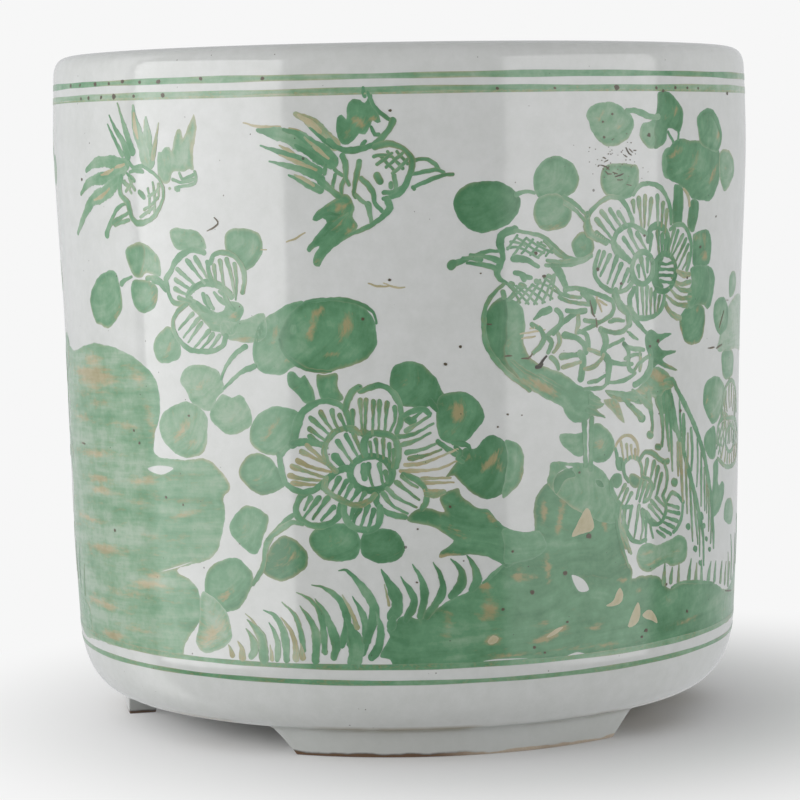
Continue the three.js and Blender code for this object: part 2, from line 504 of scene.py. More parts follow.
def foot_colour(tree):
    """White glaze, greyed as painted shade, with a burnt line just above the ground and bare clay below."""
    # Painted shade: the feet's glaze is mixed towards grey, for the dim light close to the floor under the
    # pot.
    glaze = mix_colour(tree, 0.38, white_glaze_colour(tree), rgb(0.36, 0.38, 0.355))
    place = add_node(tree, "ShaderNodeTexCoord").outputs["Object"]
    split = add_node(tree, "ShaderNodeSeparateXYZ", {0: place}).outputs
    height = split["Z"]
    ragged = math_node(tree, "MULTIPLY", noise(tree, place, 90.0, detail=4.0), 0.0026)
    level = math_node(tree, "SUBTRACT", math_node(tree, "ADD", height, 0.0013), ragged)
    bare = soft_step(tree, level, CLAY_TOP + CLAY_BORDER, CLAY_TOP)
    burnt = soft_step(tree, level, CLAY_TOP + SCORCH_HEIGHT, CLAY_TOP)
    patches = soft_step(tree, noise(tree, place, 40.0, detail=3.0), 0.42, 0.66)
    side = soft_step(tree, split["X"], SCORCH_END, SCORCH_START)
    patches = math_node(tree, "MAXIMUM", math_node(tree, "MULTIPLY", patches, 0.5), side)
    scorched = math_node(tree, "MULTIPLY", burnt, patches)
    browned = mix_colour(tree, scorched, glaze, rgb(0.085, 0.06, 0.045))
    grain = noise(tree, place, 1400.0, detail=2.0)
    clay = mix_colour(tree, grain, rgb(0.42, 0.33, 0.24), rgb(0.62, 0.54, 0.44))
    dark_clay = mix_colour(tree, scorched, clay, rgb(0.16, 0.095, 0.055))
    return mix_colour(tree, bare, browned, dark_clay)


foot_glaze_with_painted_shade = glossy_material("foot_glaze_with_painted_shade", foot_colour, 0.16)


# %% Feet
FOOT_AZIMUTHS = {"foot_front": 10.6, "foot_rear_right": 130.6, "foot_rear_left": 250.6}
FOOT_INNER = (93.6, 92.4)
FOOT_OUTER = (103.2, 104.6)
FOOT_HALF_SPAN = ((0.0, 32.1), (1.4, 32.6), (6.5, 35.2), (8.6, 36.5), (9.5, 37.6), (SEAM_HEIGHT, 38.2))
FOOT_LEVELS = (0.7, 2.0, 3.4, 5.0, 6.5, 7.6, 8.6, 9.2, 9.7)
FOOT_SPIN_STEPS = 44
WORN_EDGE = 0.9
SHARPEST_SMOOTH_ANGLE = math.radians(40)


def spun_foot(name, azimuth):
    """A section of the foot ring, spun through the foot's widest angle."""
    bpy.ops.object.select_all(action="DESELECT")
    bpy.ops.mesh.primitive_plane_add(size=1, location=(0, 0, 0))
    foot = bpy.context.object
    foot.name = name
    widest = FOOT_HALF_SPAN[-1][1]
    start = math.radians(azimuth + widest)
    for corner_point in foot.data.vertices:
        top = int(corner_point.co.y > 0)
        radius = (FOOT_OUTER if corner_point.co.x > 0 else FOOT_INNER)[top] * MM
        height = SEAM_HEIGHT * MM * top
        corner_point.co = (radius * math.sin(start), -radius * math.cos(start), height)
    bpy.ops.object.mode_set(mode="EDIT")
    bpy.ops.mesh.select_all(action="SELECT")
    bpy.ops.mesh.spin(steps=FOOT_SPIN_STEPS, angle=math.radians(2 * widest), center=(0, 0, 0), axis=(0, 0, 1))
    for level in FOOT_LEVELS:
        bpy.ops.mesh.select_all(action="SELECT")
        bpy.ops.mesh.bisect(plane_co=(0, 0, level * MM), plane_no=(0, 0, 1))
    bpy.ops.mesh.select_all(action="SELECT")
    bpy.ops.mesh.remove_doubles(threshold=0.00001)
    bpy.ops.mesh.normals_make_consistent(inside=False)
    bpy.ops.object.mode_set(mode="OBJECT")
    draw_ends_together(foot, math.radians(azimuth), widest)
    return foot


def draw_ends_together(foot, middle, widest):
    """Narrows each level of a foot to its own half span, about the middle of the foot."""
    for vertex in foot.data.vertices:
        radius = math.hypot(vertex.co.x, vertex.co.y)
        turn = math.atan2(vertex.co.x, -vertex.co.y) - middle
        turn = (turn + math.pi) % (2 * math.pi) - math.pi
        half_span = float(np.interp(vertex.co.z / MM, *zip(*FOOT_HALF_SPAN)))
        turn = middle + turn * half_span / widest
        vertex.co.x = radius * math.sin(turn)
        vertex.co.y = -radius * math.cos(turn)


for node, azimuth in FOOT_AZIMUTHS.items():
    foot = spun_foot("glazed_" + node, azimuth)
    worn = foot.modifiers.new("worn_edges", "BEVEL")
    worn.width = WORN_EDGE * MM
    worn.segments = 3
    worn.limit_method = "ANGLE"
    worn.angle_limit = SHARPEST_SMOOTH_ANGLE
    bpy.ops.object.modifier_apply(modifier=worn.name)
    bpy.ops.object.shade_smooth_by_angle(angle=SHARPEST_SMOOTH_ANGLE)
    foot.data.materials.clear()
    foot.data.materials.append(foot_glaze_with_painted_shade)
    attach(foot, "root")
    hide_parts(node)
    print(foot.name, len(foot.data.polygons), "faces")

# %% [markdown]
# ## Enamel
# The painter worked with a soft brush and thin green enamel. A full brush leaves a deep, even green, a
# drying brush leaves streaks, thin enamel pools darker along the rim of a stroke, and where it is thinnest
# the iron in it fires to a sandy ochre. Every stroke therefore carries two attributes on its points.
# "paint" holds how near the point is to the stroke's edge, its tone, its ochre and, as alpha, how dry the
# brush was. "flow" holds the place along and across the brush's path, which stretches the streaks the right
# way.

# %% Enamel effect
def enamel_group():
    """Colour of brushed enamel over the white glaze, from the paint and flow attributes of a stroke."""
    inputs = [("Streaks", "NodeSocketFloat", 0.5), ("Glaze", "NodeSocketColor", rgb(0.72, 0.73, 0.72))]
    group, given, result = new_group("brushed_enamel", inputs, [("Color", "NodeSocketColor")])
    paint = add_node(group, "ShaderNodeAttribute", attribute_name="paint")
    parts = add_node(group, "ShaderNodeSeparateColor", {0: paint.outputs["Color"]}).outputs
    edge, tone, ochre = parts["Red"], parts["Green"], parts["Blue"]
    flow = add_node(group, "ShaderNodeAttribute", attribute_name="flow").outputs["Vector"]
    place = add_node(group, "ShaderNodeTexCoord").outputs["Object"]

    streak = noise(group, scaled(group, flow, (0.06, 0.62, 3.0)), 1.0, detail=3.0, roughness=0.6)
    strength = math_node(group, "MULTIPLY", given.outputs["Streaks"], paint.outputs["Alpha"])
    streak = math_node(group, "MULTIPLY", math_node(group, "SUBTRACT", streak, 0.5), strength)
    cloud = noise(group, place, 130.0, detail=5.0, roughness=0.68)
    cloud = math_node(group, "MULTIPLY_ADD", cloud, 1.1, -0.55)
    uneven = math_node(group, "ADD", streak, cloud)
    depth = math_node(group, "ADD", tone, uneven, clamp=True)
    greens = add_node(group, "ShaderNodeValToRGB", {0: depth})
    ramp = greens.color_ramp.elements
    ramp[0].position, ramp[0].color = 0.0, rgb(0.41, 0.53, 0.41)
    ramp[1].position, ramp[1].color = 1.0, rgb(0.08, 0.228, 0.108)
    for position, colour in ((0.3, rgb(0.265, 0.43, 0.28)), (0.6, rgb(0.15, 0.34, 0.188))):
        ramp.new(position).color = colour

    grain = noise(group, scaled(group, flow, (0.35, 1.6, 3.0)), 1.0, detail=4.0, roughness=0.7)
    grain = math_node(group, "MULTIPLY_ADD", grain, 2.0, -1.0)
    sandy = math_node(group, "ADD", ochre, math_node(group, "MULTIPLY", math_node(group, "ADD", uneven,
                      grain), 0.8))
    sandy = soft_step(group, sandy, 0.2, 0.95)
    sand = mix_colour(group, soft_step(group, depth, 0.0, 0.75), rgb(0.57, 0.51, 0.34), rgb(0.37, 0.33, 0.17))
    tinted = mix_colour(group, sandy, greens.outputs[0], sand)
    fringe = soft_step(group, noise(group, place, 42.0, detail=3.0), 0.46, 0.72)
    fringe = math_node(group, "MULTIPLY", math_node(group, "MULTIPLY", fringe, edge), 0.8)
    fringed = mix_colour(group, fringe, tinted, sand)
    thin = math_node(group, "MULTIPLY", math_node(group, "POWER", edge, 3.0), 0.1)
    covered = mix_colour(group, thin, fringed, given.outputs["Glaze"])
    group.links.new(covered, result.inputs["Color"])
    return group


brushed_enamel = enamel_group()


def enamel_colour(tree):
    glaze = white_glaze_colour(tree)
    node = place_group(tree, brushed_enamel, Streaks=1.0)
    tree.links.new(glaze, node.inputs["Glaze"])
    specks = place_group(tree, iron_specks, Amount=0.8).outputs["Mask"]
    return mix_colour(tree, specks, node.outputs["Color"], rgb(0.07, 0.075, 0.06))


green_enamel = glossy_material("green_enamel", enamel_colour, 0.18)


def iron_colour(tree):
    """Iron that boiled through the glaze: nearly black in the middle and rusty at its edge."""
    paint = add_node(tree, "ShaderNodeAttribute", attribute_name="paint")
    parts = add_node(tree, "ShaderNodeSeparateColor", {0: paint.outputs["Color"]}).outputs
    rim = math_node(tree, "MULTIPLY", parts["Red"], 0.35)
    rusty = math_node(tree, "SUBTRACT", math_node(tree, "ADD", rim, 1.0), parts["Green"], clamp=True)
    return mix_colour(tree, rusty, rgb(0.018, 0.016, 0.010), rgb(0.24, 0.19, 0.12))


iron_mark = glossy_material("iron_mark", iron_colour, 0.3)

# %% [markdown]
# ## Brush strokes
# The painting is drawn on paper first: millimetres across from the front of the pot, and millimetres up
# from the ground. A stroke there is a ribbon along a rounded line, and a wash is a rounded outline filled
# with triangles. The finished sheet is then wrapped round the wall, 0.03 to 0.14 mm proud
# of it, and thickened inwards, so that every stroke is a closed sliver of enamel that is sunk into the
# glaze.

# %% Lines through given points
def points_of(text):
    """Reads "across,up across,up" into an array of points."""
    return np.array([[float(number) for number in pair.split(",")] for pair in text.split()])


def rounded(points, step, closed=False):
    """A smooth line through points, as points about one step apart. A point given twice is a corner."""
    if closed:
        points = np.vstack([points[-1:], points, points[:2]])
    else:
        points = np.vstack([2 * points[0] - points[1], points, 2 * points[-1] - points[-2]])
    drawn = []
    for before, start, end, after in zip(points, points[1:], points[2:], points[3:]):
        span = np.linalg.norm(end - start)
        if span == 0:
            continue
        leave = (end - before) / (np.linalg.norm(start - before) + span) * span
        arrive = (after - start) / (np.linalg.norm(after - end) + span) * span
        steps = max(1, round(span / step))
        t = (np.arange(steps) / steps)[:, None]
        ease = t * t * (3 - 2 * t)
        drawn.append(start * (1 - ease) + end * ease + leave * t * (1 - t) ** 2 - arrive * t * t * (1 - t))
    if not closed:
        drawn.append(points[-2:-1])
    return np.vstack(drawn)


# %% Distances for washes
def inside(points, outline):
    """Which points lie inside a closed outline, by counting the borders to their right."""
    start, end = outline, np.roll(outline, -1, axis=0)
    x, y = points[:, None, 0], points[:, None, 1]
    crosses = (start[:, 1] > y) != (end[:, 1] > y)
    rise = np.where(end[:, 1] == start[:, 1], 1e-9, end[:, 1] - start[:, 1])
    meets = start[:, 0] + (y - start[:, 1]) / rise * (end[:, 0] - start[:, 0])
    return (crosses & (x < meets)).sum(axis=1) % 2 == 1


def depth_in(points, outline):
    """How far each point is from the nearest border of an outline."""
    start, end = outline, np.roll(outline, -1, axis=0)
    along = end - start
    length = np.maximum((along ** 2).sum(axis=1), 1e-12)
    t = ((points[:, None] - start) * along).sum(axis=2) / length
    nearest = start + np.clip(t, 0, 1)[..., None] * along
    return np.sqrt(((points[:, None] - nearest) ** 2).sum(axis=2)).min(axis=1)


# %% Sheet of strokes
GIRTH_RADIUS = 125.0
WASH_GRID = 1.5
BORDER_STEP = 0.9
LINE_STEP = 0.9
RING_STEPS = 300
BORDER_WOBBLES = ((0.5, 0.14), (1.1, 0.10), (2.3, 0.07))
TIP_STEPS = np.array((0.0, 0.12, 0.4, 0.75))
TIP_REACH = 0.4
FRINGE_WIDTH = 1.0
ENAMEL_THICKNESS = 0.16
WASH_LIFT = 0.030
OVERLAP_LIFT = 0.015
LINE_LIFT = 0.080
TOP_LIFT = 0.125
LIFT_STEP = 0.005
RIBBON_COLUMNS = np.array((-1.0, -0.6, 0.0, 0.6, 1.0))
RIBBON_EDGES = np.array((1.0, 0.3, 0.0, 0.3, 1.0))


class Sheet:
    """The strokes of one motif on paper. place moves the whole motif round the pot, and mirror -1 flips
    it."""

    def __init__(self, name, place=0.0, mirror=1, on_top=False):
        self.name = name
        self.place = place
        self.mirror = mirror
        self.on_top = on_top
        self.hand = random.Random(name)
        self.points, self.lifts, self.faces, self.paint, self.flow = [], [], [], [], []

    def lift(self, is_line, over):
        """A stroke lies a hair above its neighbours, and above a wash that it is painted over."""
        number = len(self.points)
        if self.on_top:
            return TOP_LIFT + LIFT_STEP * (number % 4)
        if is_line:
            return LINE_LIFT + LIFT_STEP * (number % 8)
        return WASH_LIFT + OVERLAP_LIFT * over + LIFT_STEP * (number % 3)

    def lay(self, points, faces, edge, tone, ochre, flow, dry=0.5, over=None):
        """Adds a finished stroke to the sheet; a line says nothing for over."""
        count = len(points)
        start = sum(map(len, self.points))
        if self.mirror < 0:
            faces = [face[::-1] for face in faces]
        self.lifts.append(np.full(count, self.lift(over is None, over)))
        self.points.append(points * (self.mirror, 1) + (self.place, 0))
        self.faces += [tuple(start + index for index in face) for face in faces]
        columns = [np.broadcast_to(value, count) for value in (edge, tone, ochre, dry)]
        self.paint.append(np.stack(columns, axis=1))
        self.flow.append(flow)

    def wobble(self, travel, pace, amount):
        """A slow swing along a stroke, different each time, as a hand is never steady."""
        return amount * np.sin(travel * pace * self.hand.uniform(0.8, 1.25) + self.hand.uniform(0, 6))

    def line(self, text, width, tone=0.62, ochre=0.0):
        """A brush line. width is one number, or several that are spread along it."""
        path = rounded(points_of(text) if isinstance(text, str) else np.asarray(text), 0.5)
        widths = np.atleast_1d(width)
        path[0] += (path[0] - path[1]) / np.linalg.norm(path[0] - path[1]) * widths[0] * TIP_REACH
        path[-1] += (path[-1] - path[-2]) / np.linalg.norm(path[-1] - path[-2]) * widths[-1] * TIP_REACH
        run = np.concatenate([[0], np.cumsum(np.linalg.norm(np.diff(path, axis=0), axis=1))])
        first, last = np.minimum(widths[[0, -1]] / 2, run[-1] / 2)
        body = np.linspace(first, run[-1] - last, max(2, round((run[-1] - first - last) / LINE_STEP)))
        travel = np.unique(np.concatenate([first * TIP_STEPS, body, run[-1] - last * TIP_STEPS]).round(3))
        spine = np.stack([np.interp(travel, run, path[:, axis]) for axis in (0, 1)], axis=1)
        half = np.interp(travel / travel[-1], np.linspace(0, 1, len(widths)), widths) / 2
        half = half * (1 + self.wobble(travel, 0.7, 0.10) + self.wobble(travel, 2.6, 0.05))
        tip = np.minimum(travel, travel[-1] - travel) / half
        half = half * np.sqrt(np.clip(1 - (1 - np.minimum(tip, 1)) ** 2, 0.02, 1))
        heading = np.gradient(spine, axis=0)
        heading /= np.linalg.norm(heading, axis=1)[:, None]
        sideways = heading[:, ::-1] * (-1, 1)
        columns = len(RIBBON_COLUMNS)
        across = half[:, None] * RIBBON_COLUMNS + self.wobble(travel, 1.7, 0.07)[:, None]
        points = (spine[:, None] + across[..., None] * sideways[:, None]).reshape(-1, 2)
        edge = np.tile(RIBBON_EDGES, (len(spine), 1))
        edge[[0, -1]] = 1.0
        faces = [(a, a + columns, a + columns + 1, a + 1)
                 for row in range(len(spine) - 1) for a in range(row * columns, (row + 1) * columns - 1)]
        seed = self.hand.uniform(0, 50)
        flow = np.stack([np.repeat(travel, columns), across.ravel(), np.full(len(points), seed)], axis=1)
        tone = tone + self.wobble(flow[:, 0], 0.3, 0.12)
        self.lay(points, faces, edge.ravel(), tone, ochre, flow)

    def wash(self, text, tone=0.55, angle=0.0, rim=0.15, ochre=0.0, stains="", holes=(), over=0, shades="",
             swirl=0.35, coarse=1.0, dry=0.6):
        """A filled shape. stains are ochre patches and shades darker (or paler) ones, each written as
        "across,up,half_length,half_width,angle,strength". swirl is how far the brush followed the outline."""
        corners = points_of(text) if isinstance(text, str) else np.asarray(text)
        outline = rounded(corners, BORDER_STEP, closed=True)
        following = np.roll(outline, -1, axis=0)
        if (outline[:, 0] * following[:, 1] - following[:, 0] * outline[:, 1]).sum() < 0:
            outline = outline[::-1]
        outline = self.shaky(outline)
        rings = [outline] + [rounded(points_of(hole), BORDER_STEP, closed=True) for hole in holes]
        points = self.fill_points(rings)
        borders = [[first + i for i in range(len(ring))]
                   for ring, first in zip(rings, np.cumsum([0] + [len(ring) for ring in rings]))]
        edges = [(a, b) for border in borders[1:] for a, b in zip(border, border[1:] + border[:1])]
        made = delaunay_2d_cdt([Vector(point) for point in points], edges, [borders[0]], 1, 1e-5)
        points = np.array([tuple(point) for point in made[0]])
        faces = np.array(made[2])
        middles = points[faces].mean(axis=1)
        for hole in rings[1:]:
            faces = faces[~inside(middles, hole)]
            middles = points[faces].mean(axis=1)
        depth = np.min([depth_in(points, ring) for ring in rings], axis=0)
        seed = self.hand.uniform(0, 50)
        turn = math.radians(angle)
        along = points @ (math.cos(turn), math.sin(turn))
        across = points @ (-math.sin(turn), math.cos(turn))
        across = across * (1 - swirl) + depth * swirl
        flow = np.stack([along / coarse, across / coarse, np.full(len(points), seed)], axis=1)
        tone = tone + rim * np.clip(1.3 - np.abs(depth - 1.3), 0, 1) + patches(points, shades)
        edge = np.clip(1 - depth / FRINGE_WIDTH, 0, 1)
        ochre = np.clip(ochre + patches(points, stains), 0, 1)
        self.lay(points, faces.tolist(), edge, tone, ochre, flow, dry, over)

    def shaky(self, outline):
        """The uneven border that a full brush leaves."""
        travel = np.arange(len(outline)) * BORDER_STEP
        swings = [self.wobble(travel, pace, amount) for pace, amount in BORDER_WOBBLES]
        sway = swings[0] + swings[1] + swings[2]
        sway *= np.minimum(1, len(outline) / 40) * np.sin(np.linspace(0, math.pi, len(outline))) ** 0.3
        heading = np.roll(outline, -1, axis=0) - np.roll(outline, 1, axis=0)
        heading /= np.maximum(np.linalg.norm(heading, axis=1), 1e-9)[:, None]
        return outline + heading[:, ::-1] * (-1, 1) * sway[:, None]

    def fill_points(self, rings):
        """The borders' points, rings of points just inside them, and a jittered grid between."""
        gathered = [np.vstack(rings)]
        outline = rings[0]
        for inset in (0.45, 1.2):
            for sign, ring in zip([1] + [-1] * (len(rings) - 1), rings):
                heading = np.roll(ring, -1, axis=0) - np.roll(ring, 1, axis=0)
                heading /= np.maximum(np.linalg.norm(heading, axis=1), 1e-9)[:, None]
                area = (ring[:, 0] * np.roll(ring[:, 1], -1) - np.roll(ring[:, 0], -1) * ring[:, 1]).sum()
                inwards = heading[:, ::-1] * (-1, 1) * sign * np.sign(area)
                gathered.append((ring + inwards * inset)[::1 if inset < 1 else 2])
        low, high = outline.min(axis=0), outline.max(axis=0)
        columns = np.arange(low[0], high[0], WASH_GRID)
        rows = np.arange(low[1], high[1], WASH_GRID * 0.87)
        x, y = np.meshgrid(columns, rows)
        x = x + (np.arange(len(rows)) % 2)[:, None] * WASH_GRID / 2
        grid = np.stack([x.ravel(), y.ravel()], axis=1)
        jitter = [[self.hand.uniform(-0.3, 0.3) for _ in (0, 1)] for _ in grid]
        gathered.append(grid + np.array(jitter).reshape(-1, 2))
        kept = [gathered[0]]
        for group, clearance in zip(gathered[1:], [0.4] * len(rings) + [1.1] * len(rings) + [1.7]):
            group = group[inside(group, outline)]
            if len(group):
                far = np.min([depth_in(group, ring) for ring in rings], axis=0) > clearance
                outside_holes = np.all([~inside(group, hole) for hole in rings[1:]] or [far], axis=0)
                kept.append(group[far & outside_holes])
        return np.vstack(kept)

    def ring(self, height, width, tone, ochre=0.0):
        """A line drawn all round the pot as it turns on the wheel."""
        steps = RING_STEPS
        columns = len(RIBBON_COLUMNS)
        girth = 2 * math.pi * GIRTH_RADIUS
        x = np.arange(steps) / steps * girth
        turn = x / GIRTH_RADIUS
        middle = height + 0.12 * np.sin(2 * turn) + 0.08 * np.sin(5 * turn + height)
        half = width / 2 * (1 + 0.13 * np.sin(7 * turn + height) + 0.07 * np.sin(23 * turn))
        up = (middle[:, None] + half[:, None] * RIBBON_COLUMNS).ravel()
        points = np.stack([np.repeat(x, columns), up], axis=1)
        faces = []
        for row in range(steps):
            for column in range(columns - 1):
                a = row * columns + column
                b = (row + 1) % steps * columns + column
                faces.append((a, b, b + 1, a + 1))
        there_and_back = GIRTH_RADIUS * 2 * np.abs(np.repeat(turn, columns) - math.pi)
        flow = np.stack([there_and_back, points[:, 1], np.full(len(points), height)], axis=1)
        edge = np.tile(RIBBON_EDGES, steps)
        tones = tone + 0.12 * np.sin(3 * np.repeat(turn, columns) + height)
        self.lay(points, faces, edge, tones, ochre, flow)

    def finish(self, material):
        """Wraps the sheet round the wall and makes it one piece of closed slivers."""
        paper = np.vstack(self.points)
        space = on_wall(paper, np.concatenate(self.lifts))[0]
        mesh = bpy.data.meshes.new(self.name)
        mesh.from_pydata(space.tolist(), [], self.faces)
        paint = mesh.attributes.new("paint", "FLOAT_COLOR", "POINT")
        paint.data.foreach_set("color", np.vstack(self.paint).astype(np.float32).ravel())
        flow = mesh.attributes.new("flow", "FLOAT_VECTOR", "POINT")
        flow.data.foreach_set("vector", np.vstack(self.flow).astype(np.float32).ravel())
        mesh.materials.append(material)
        piece = bpy.data.objects.new(self.name, mesh)
        scene.collection.objects.link(piece)
        bpy.ops.object.select_all(action="DESELECT")
        piece.select_set(True)
        bpy.context.view_layer.objects.active = piece
        sliver = piece.modifiers.new("sliver", "SOLIDIFY")
        sliver.thickness = ENAMEL_THICKNESS * MM
        sliver.offset = -1
        bpy.ops.object.modifier_apply(modifier=sliver.name)
        follow_wall(piece.data)
        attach(piece, "root")
        print(self.name, len(piece.data.polygons), "faces")
        return piece


# %% Patches, and the wall as a surface
def patches(points, text):
    """How strongly the soft patches in a text cover each point."""
    total = np.zeros(len(points))
    for patch in text.split():
        x, y, long, wide, angle, strength = map(float, patch.split(","))
        turn = math.radians(angle)
        offset = points - (x, y)
        u = offset @ (math.cos(turn), math.sin(turn)) / long
        v = offset @ (-math.sin(turn), math.cos(turn)) / wide
        total += strength * np.exp(-0.8 * (u * u + v * v))
    return total


def on_wall(paper, lift):
    """Where points of the paper lie in space, in metres, and the wall's outward direction there."""
    turn = paper[:, 0] / GIRTH_RADIUS
    height = paper[:, 1]
    radius = (wall_radius(height) + lift) * MM
    space = np.stack([radius * np.sin(turn), -radius * np.cos(turn), height * MM], axis=1)
    slope = wall_radius(height + 0.5) - wall_radius(height - 0.5)
    outwards = np.stack([np.sin(turn), -np.cos(turn), -slope], axis=1)
    return space, outwards / np.linalg.norm(outwards, axis=1)[:, None]


def follow_wall(mesh):
    """Shades the enamel with the wall's own directions, so that a reflection crosses its edges unbroken."""
    places = np.empty(len(mesh.vertices) * 3)
    mesh.vertices.foreach_get("co", places)
    places = places.reshape(-1, 3)
    turn = np.arctan2(places[:, 0], -places[:, 1])
    paper = np.stack([turn * GIRTH_RADIUS, places[:, 2] / MM], axis=1)
    outwards = on_wall(paper, 0.0)[1]
    corners = np.empty(len(mesh.loops), dtype=np.int64)
    mesh.loops.foreach_get("vertex_index", corners)
    sizes = np.empty(len(mesh.polygons), dtype=np.int64)
    mesh.polygons.foreach_get("loop_total", sizes)
    face_normals = np.empty(len(mesh.polygons) * 3)
    mesh.polygons.foreach_get("normal", face_normals)
    face_normals = np.repeat(face_normals.reshape(-1, 3), sizes, axis=0)
    normals = outwards[corners]
    agreement = (normals * face_normals).sum(axis=1)
    normals = np.where(agreement[:, None] < -0.5, -normals, normals)
    normals = np.where(np.abs(agreement)[:, None] < 0.5, face_normals, normals)
    mesh.polygons.foreach_set("use_smooth", np.ones(len(mesh.polygons), dtype=bool))
    mesh.normals_split_custom_set(normals.tolist())


# %% [markdown]
# ## The painter's habits
# The same few gestures make the whole scene. The loaded brush is set down in a round head and thins out as
# it is drawn along, which makes the club strokes inside the petals. Feathers on a head are a net of short
# crossing strokes. A ring is one closed turn of the brush, and an iron pit is a small uneven spot.

# %% Gestures
def lines(art, text, width, tone=0.62, ochre=0.0):
    """Several brush lines of one kind, parted by slashes."""
    for part in text.split("/"):
        art.line(part, width, tone, ochre)


def club(art, points, width, tone, ochre):
    """A stroke with a round head where the brush was set down and a long thin tail."""
    profile = np.array((1.35, 1.5, 1.2, 0.95, 0.85, 0.75, 0.6)) * width
    points = points_of(points) if isinstance(points, str) else np.array(points)
    way = points[-1] - points[-2]
    points[-1] += way / np.linalg.norm(way) * 0.9
    art.line(points, profile, tone + art.hand.uniform(-0.08, 0.08), ochre + art.hand.uniform(-0.1, 0.15))


def clubs(art, text, width=1.2, tone=0.62, ochre=0.15):
    for part in text.split("/"):
        club(art, part, width, tone, ochre)


def petal(art, rim, heart, count, reach=0.6, width=1.3, tone=0.5, ochre=0.15):
    """A petal's rim, and clubs that run from just inside it towards the heart of the flower."""
    art.line(rim, (1.4, 1.8, 1.5), tone, ochre * 0.5)
    edge = rounded(points_of(rim), 1.0)
    middle = edge.mean(axis=0)
    for number in range(count):
        outer = edge[int((number + 0.7) / (count + 0.4) * (len(edge) - 1))]
        way = np.array(heart) + (outer - middle) * 0.4 - outer
        start = outer + way / np.linalg.norm(way) * 1.6
        end = outer + way * reach * art.hand.uniform(0.9, 1.08)
        bow = np.array((-way[1], way[0])) * art.hand.uniform(-0.04, 0.04)
        club(art, [start, (start + end) / 2 + bow, end], width, tone, ochre)


def net(art, top, bottom, count, lean=0.3, width=1.0, tone=0.5, ochre=0.0):
    """Strokes between two lines, all leaning one way and then all the other, as on a bird's head."""
    upper, lower = rounded(points_of(top), 0.5), rounded(points_of(bottom), 0.5)
    for slant in (-lean, lean):
        for number in range(count):
            place = (number + 0.5) / count
            start = upper[int(np.clip(place - slant / 2, 0, 0.999) * len(upper))]
            end = lower[int(np.clip(place + slant / 2, 0, 0.999) * len(lower))]
            art.line([start, (start + end) / 2 + (0.2, 0.2), end], width, tone, ochre)


def oval(art, x, y, half_width, half_height, width, tone=0.62):
    """A ring drawn in one turn of the brush, which overlaps its own start."""
    turns = np.linspace(0.3, 0.5 + 2 * math.pi, 13)
    art.line(np.stack([x + half_width * np.cos(turns), y + half_height * np.sin(turns)], axis=1), width, tone)


def spots(art, text, tone=0.9):
    """Small uneven spots, each "across,up,size"."""
    for x, y, size in points_of(text):
        turns = np.linspace(0, 2 * math.pi, 8)[:-1]
        reach = np.array([size / 2 * art.hand.uniform(0.75, 1.2) for _ in turns])
        outline = np.stack([x + reach * np.cos(turns), y + 0.85 * reach * np.sin(turns)], axis=1)
        art.wash(outline, tone, rim=0)


# %% [markdown]
# ## The scene on the front
# A rock and a flowering branch rise from a double line at the foot of the wall. Peonies, leaves and grass
# grow from them, a long-tailed bird stands on the right, and two small birds fly in the open ground above.
# Places were read from the pot, stroke by stroke, in millimetres on the paper.

# %% Rocks
def left_rock(art):
    # Painted shade: the two tall darker shades near -92 mm across dim the paint where the left soft box's
    # reflection falls on the rock.
    art.wash("-163,134 -155,133 -138,136 -130,137 -112,135.5 -98,130.5 -92,124 -92,113.5 -94.5,108 -95,101.5"
        " -84,100 -70,100.5 -62.5,94 -62,91 -64.5,88 -64,84 -67,72 -72,67 -80,65 -86,62.5 -80,59.5 -77,57"
        " -75.5,52 -76,47 -84,38 -86,33.5 -110,32.5 -140,32 -168,32 -173,45 -169,58 -175,71 -170,84 -176,98"
        " -171,112 -174,124", 0.31, 3, 0.10, 0.14, "-134,98.5,15,1.1,3,0.8 -132,90,9,1,0,0.7"
        " -130,86,9,1.2,0,0.9 -129,66,12,1.4,2,0.8 -101,92,10,2,8,0.6 -100,56.5,9,1.2,4,1 -98,59.5,5,1,10,0.9"
        " -136,46,15,1.3,0,0.8 -127,35.5,8,1.4,0,0.9 -135,126,16,1.6,-3,0.7 -150,110,12,1,0,0.6"
        " -146,75,14,1,0,0.7 -96,112,2,6,20,0.5 -82,82,6,1.2,15,0.6 -96,73,9,1,-4,0.5 -112,110,8,1,0,0.6"
        " -134,131,8,2,-6,0.7 -103,127,5,3,-20,0.6 -135,124,14,4,0,0.5 -120,52,12,0.9,0,0.6 -110,40,8,1,0,0.6"
        " -104,84,7,0.9,0,0.5 -128,116,10,0.9,0,0.6", ("-99,96 -93,97.5 -86,97 -92,94.5", "-94,61.5 -86,63.5"
        " -79,66 -84,64.5"), 0, "-108,131,16,3.5,-10,0.16 -104,120,14,3,-4,0.14 -122,112,24,3,2,0.16"
        " -104,104,12,2.5,0,0.12 -90,90,22,4.5,2,0.06 -84,75,18,4.5,-6,0.16 -118,80,26,3,0,0.14"
        " -110,66,20,3,2,0.16 -130,58,22,3,0,0.14 -96,48,18,3.5,-4,0.14 -120,92,8,2,0,-0.16"
        " -136,102,18,1.6,3,-0.14 -132,72,18,1.6,0,-0.12 -150,123,12,2,0,-0.14 -128,41,16,1.6,0,-0.14"
        " -92,115,7,20,0,0.2 -91,78,7,16,0,0.18 -112,60,22,10,0,-0.12 -106,73,14,7,0,-0.12"
        " -150,80,20,26,0,-0.1 -70,84,8,8,0,0.14 -81,49,6,7,0,0.25", 0, 2.4, 1.1)
    art.wash("-76,54 -74,56.5 -65,50 -63.5,42 -66,38.5 -72,36 -77,36 -79,39 -77,45",
             0.16, 20, 0.22, 0.25, "-72,42,7,2,40,0.6", over=1, shades="-77,46,3,6,0,0.12")


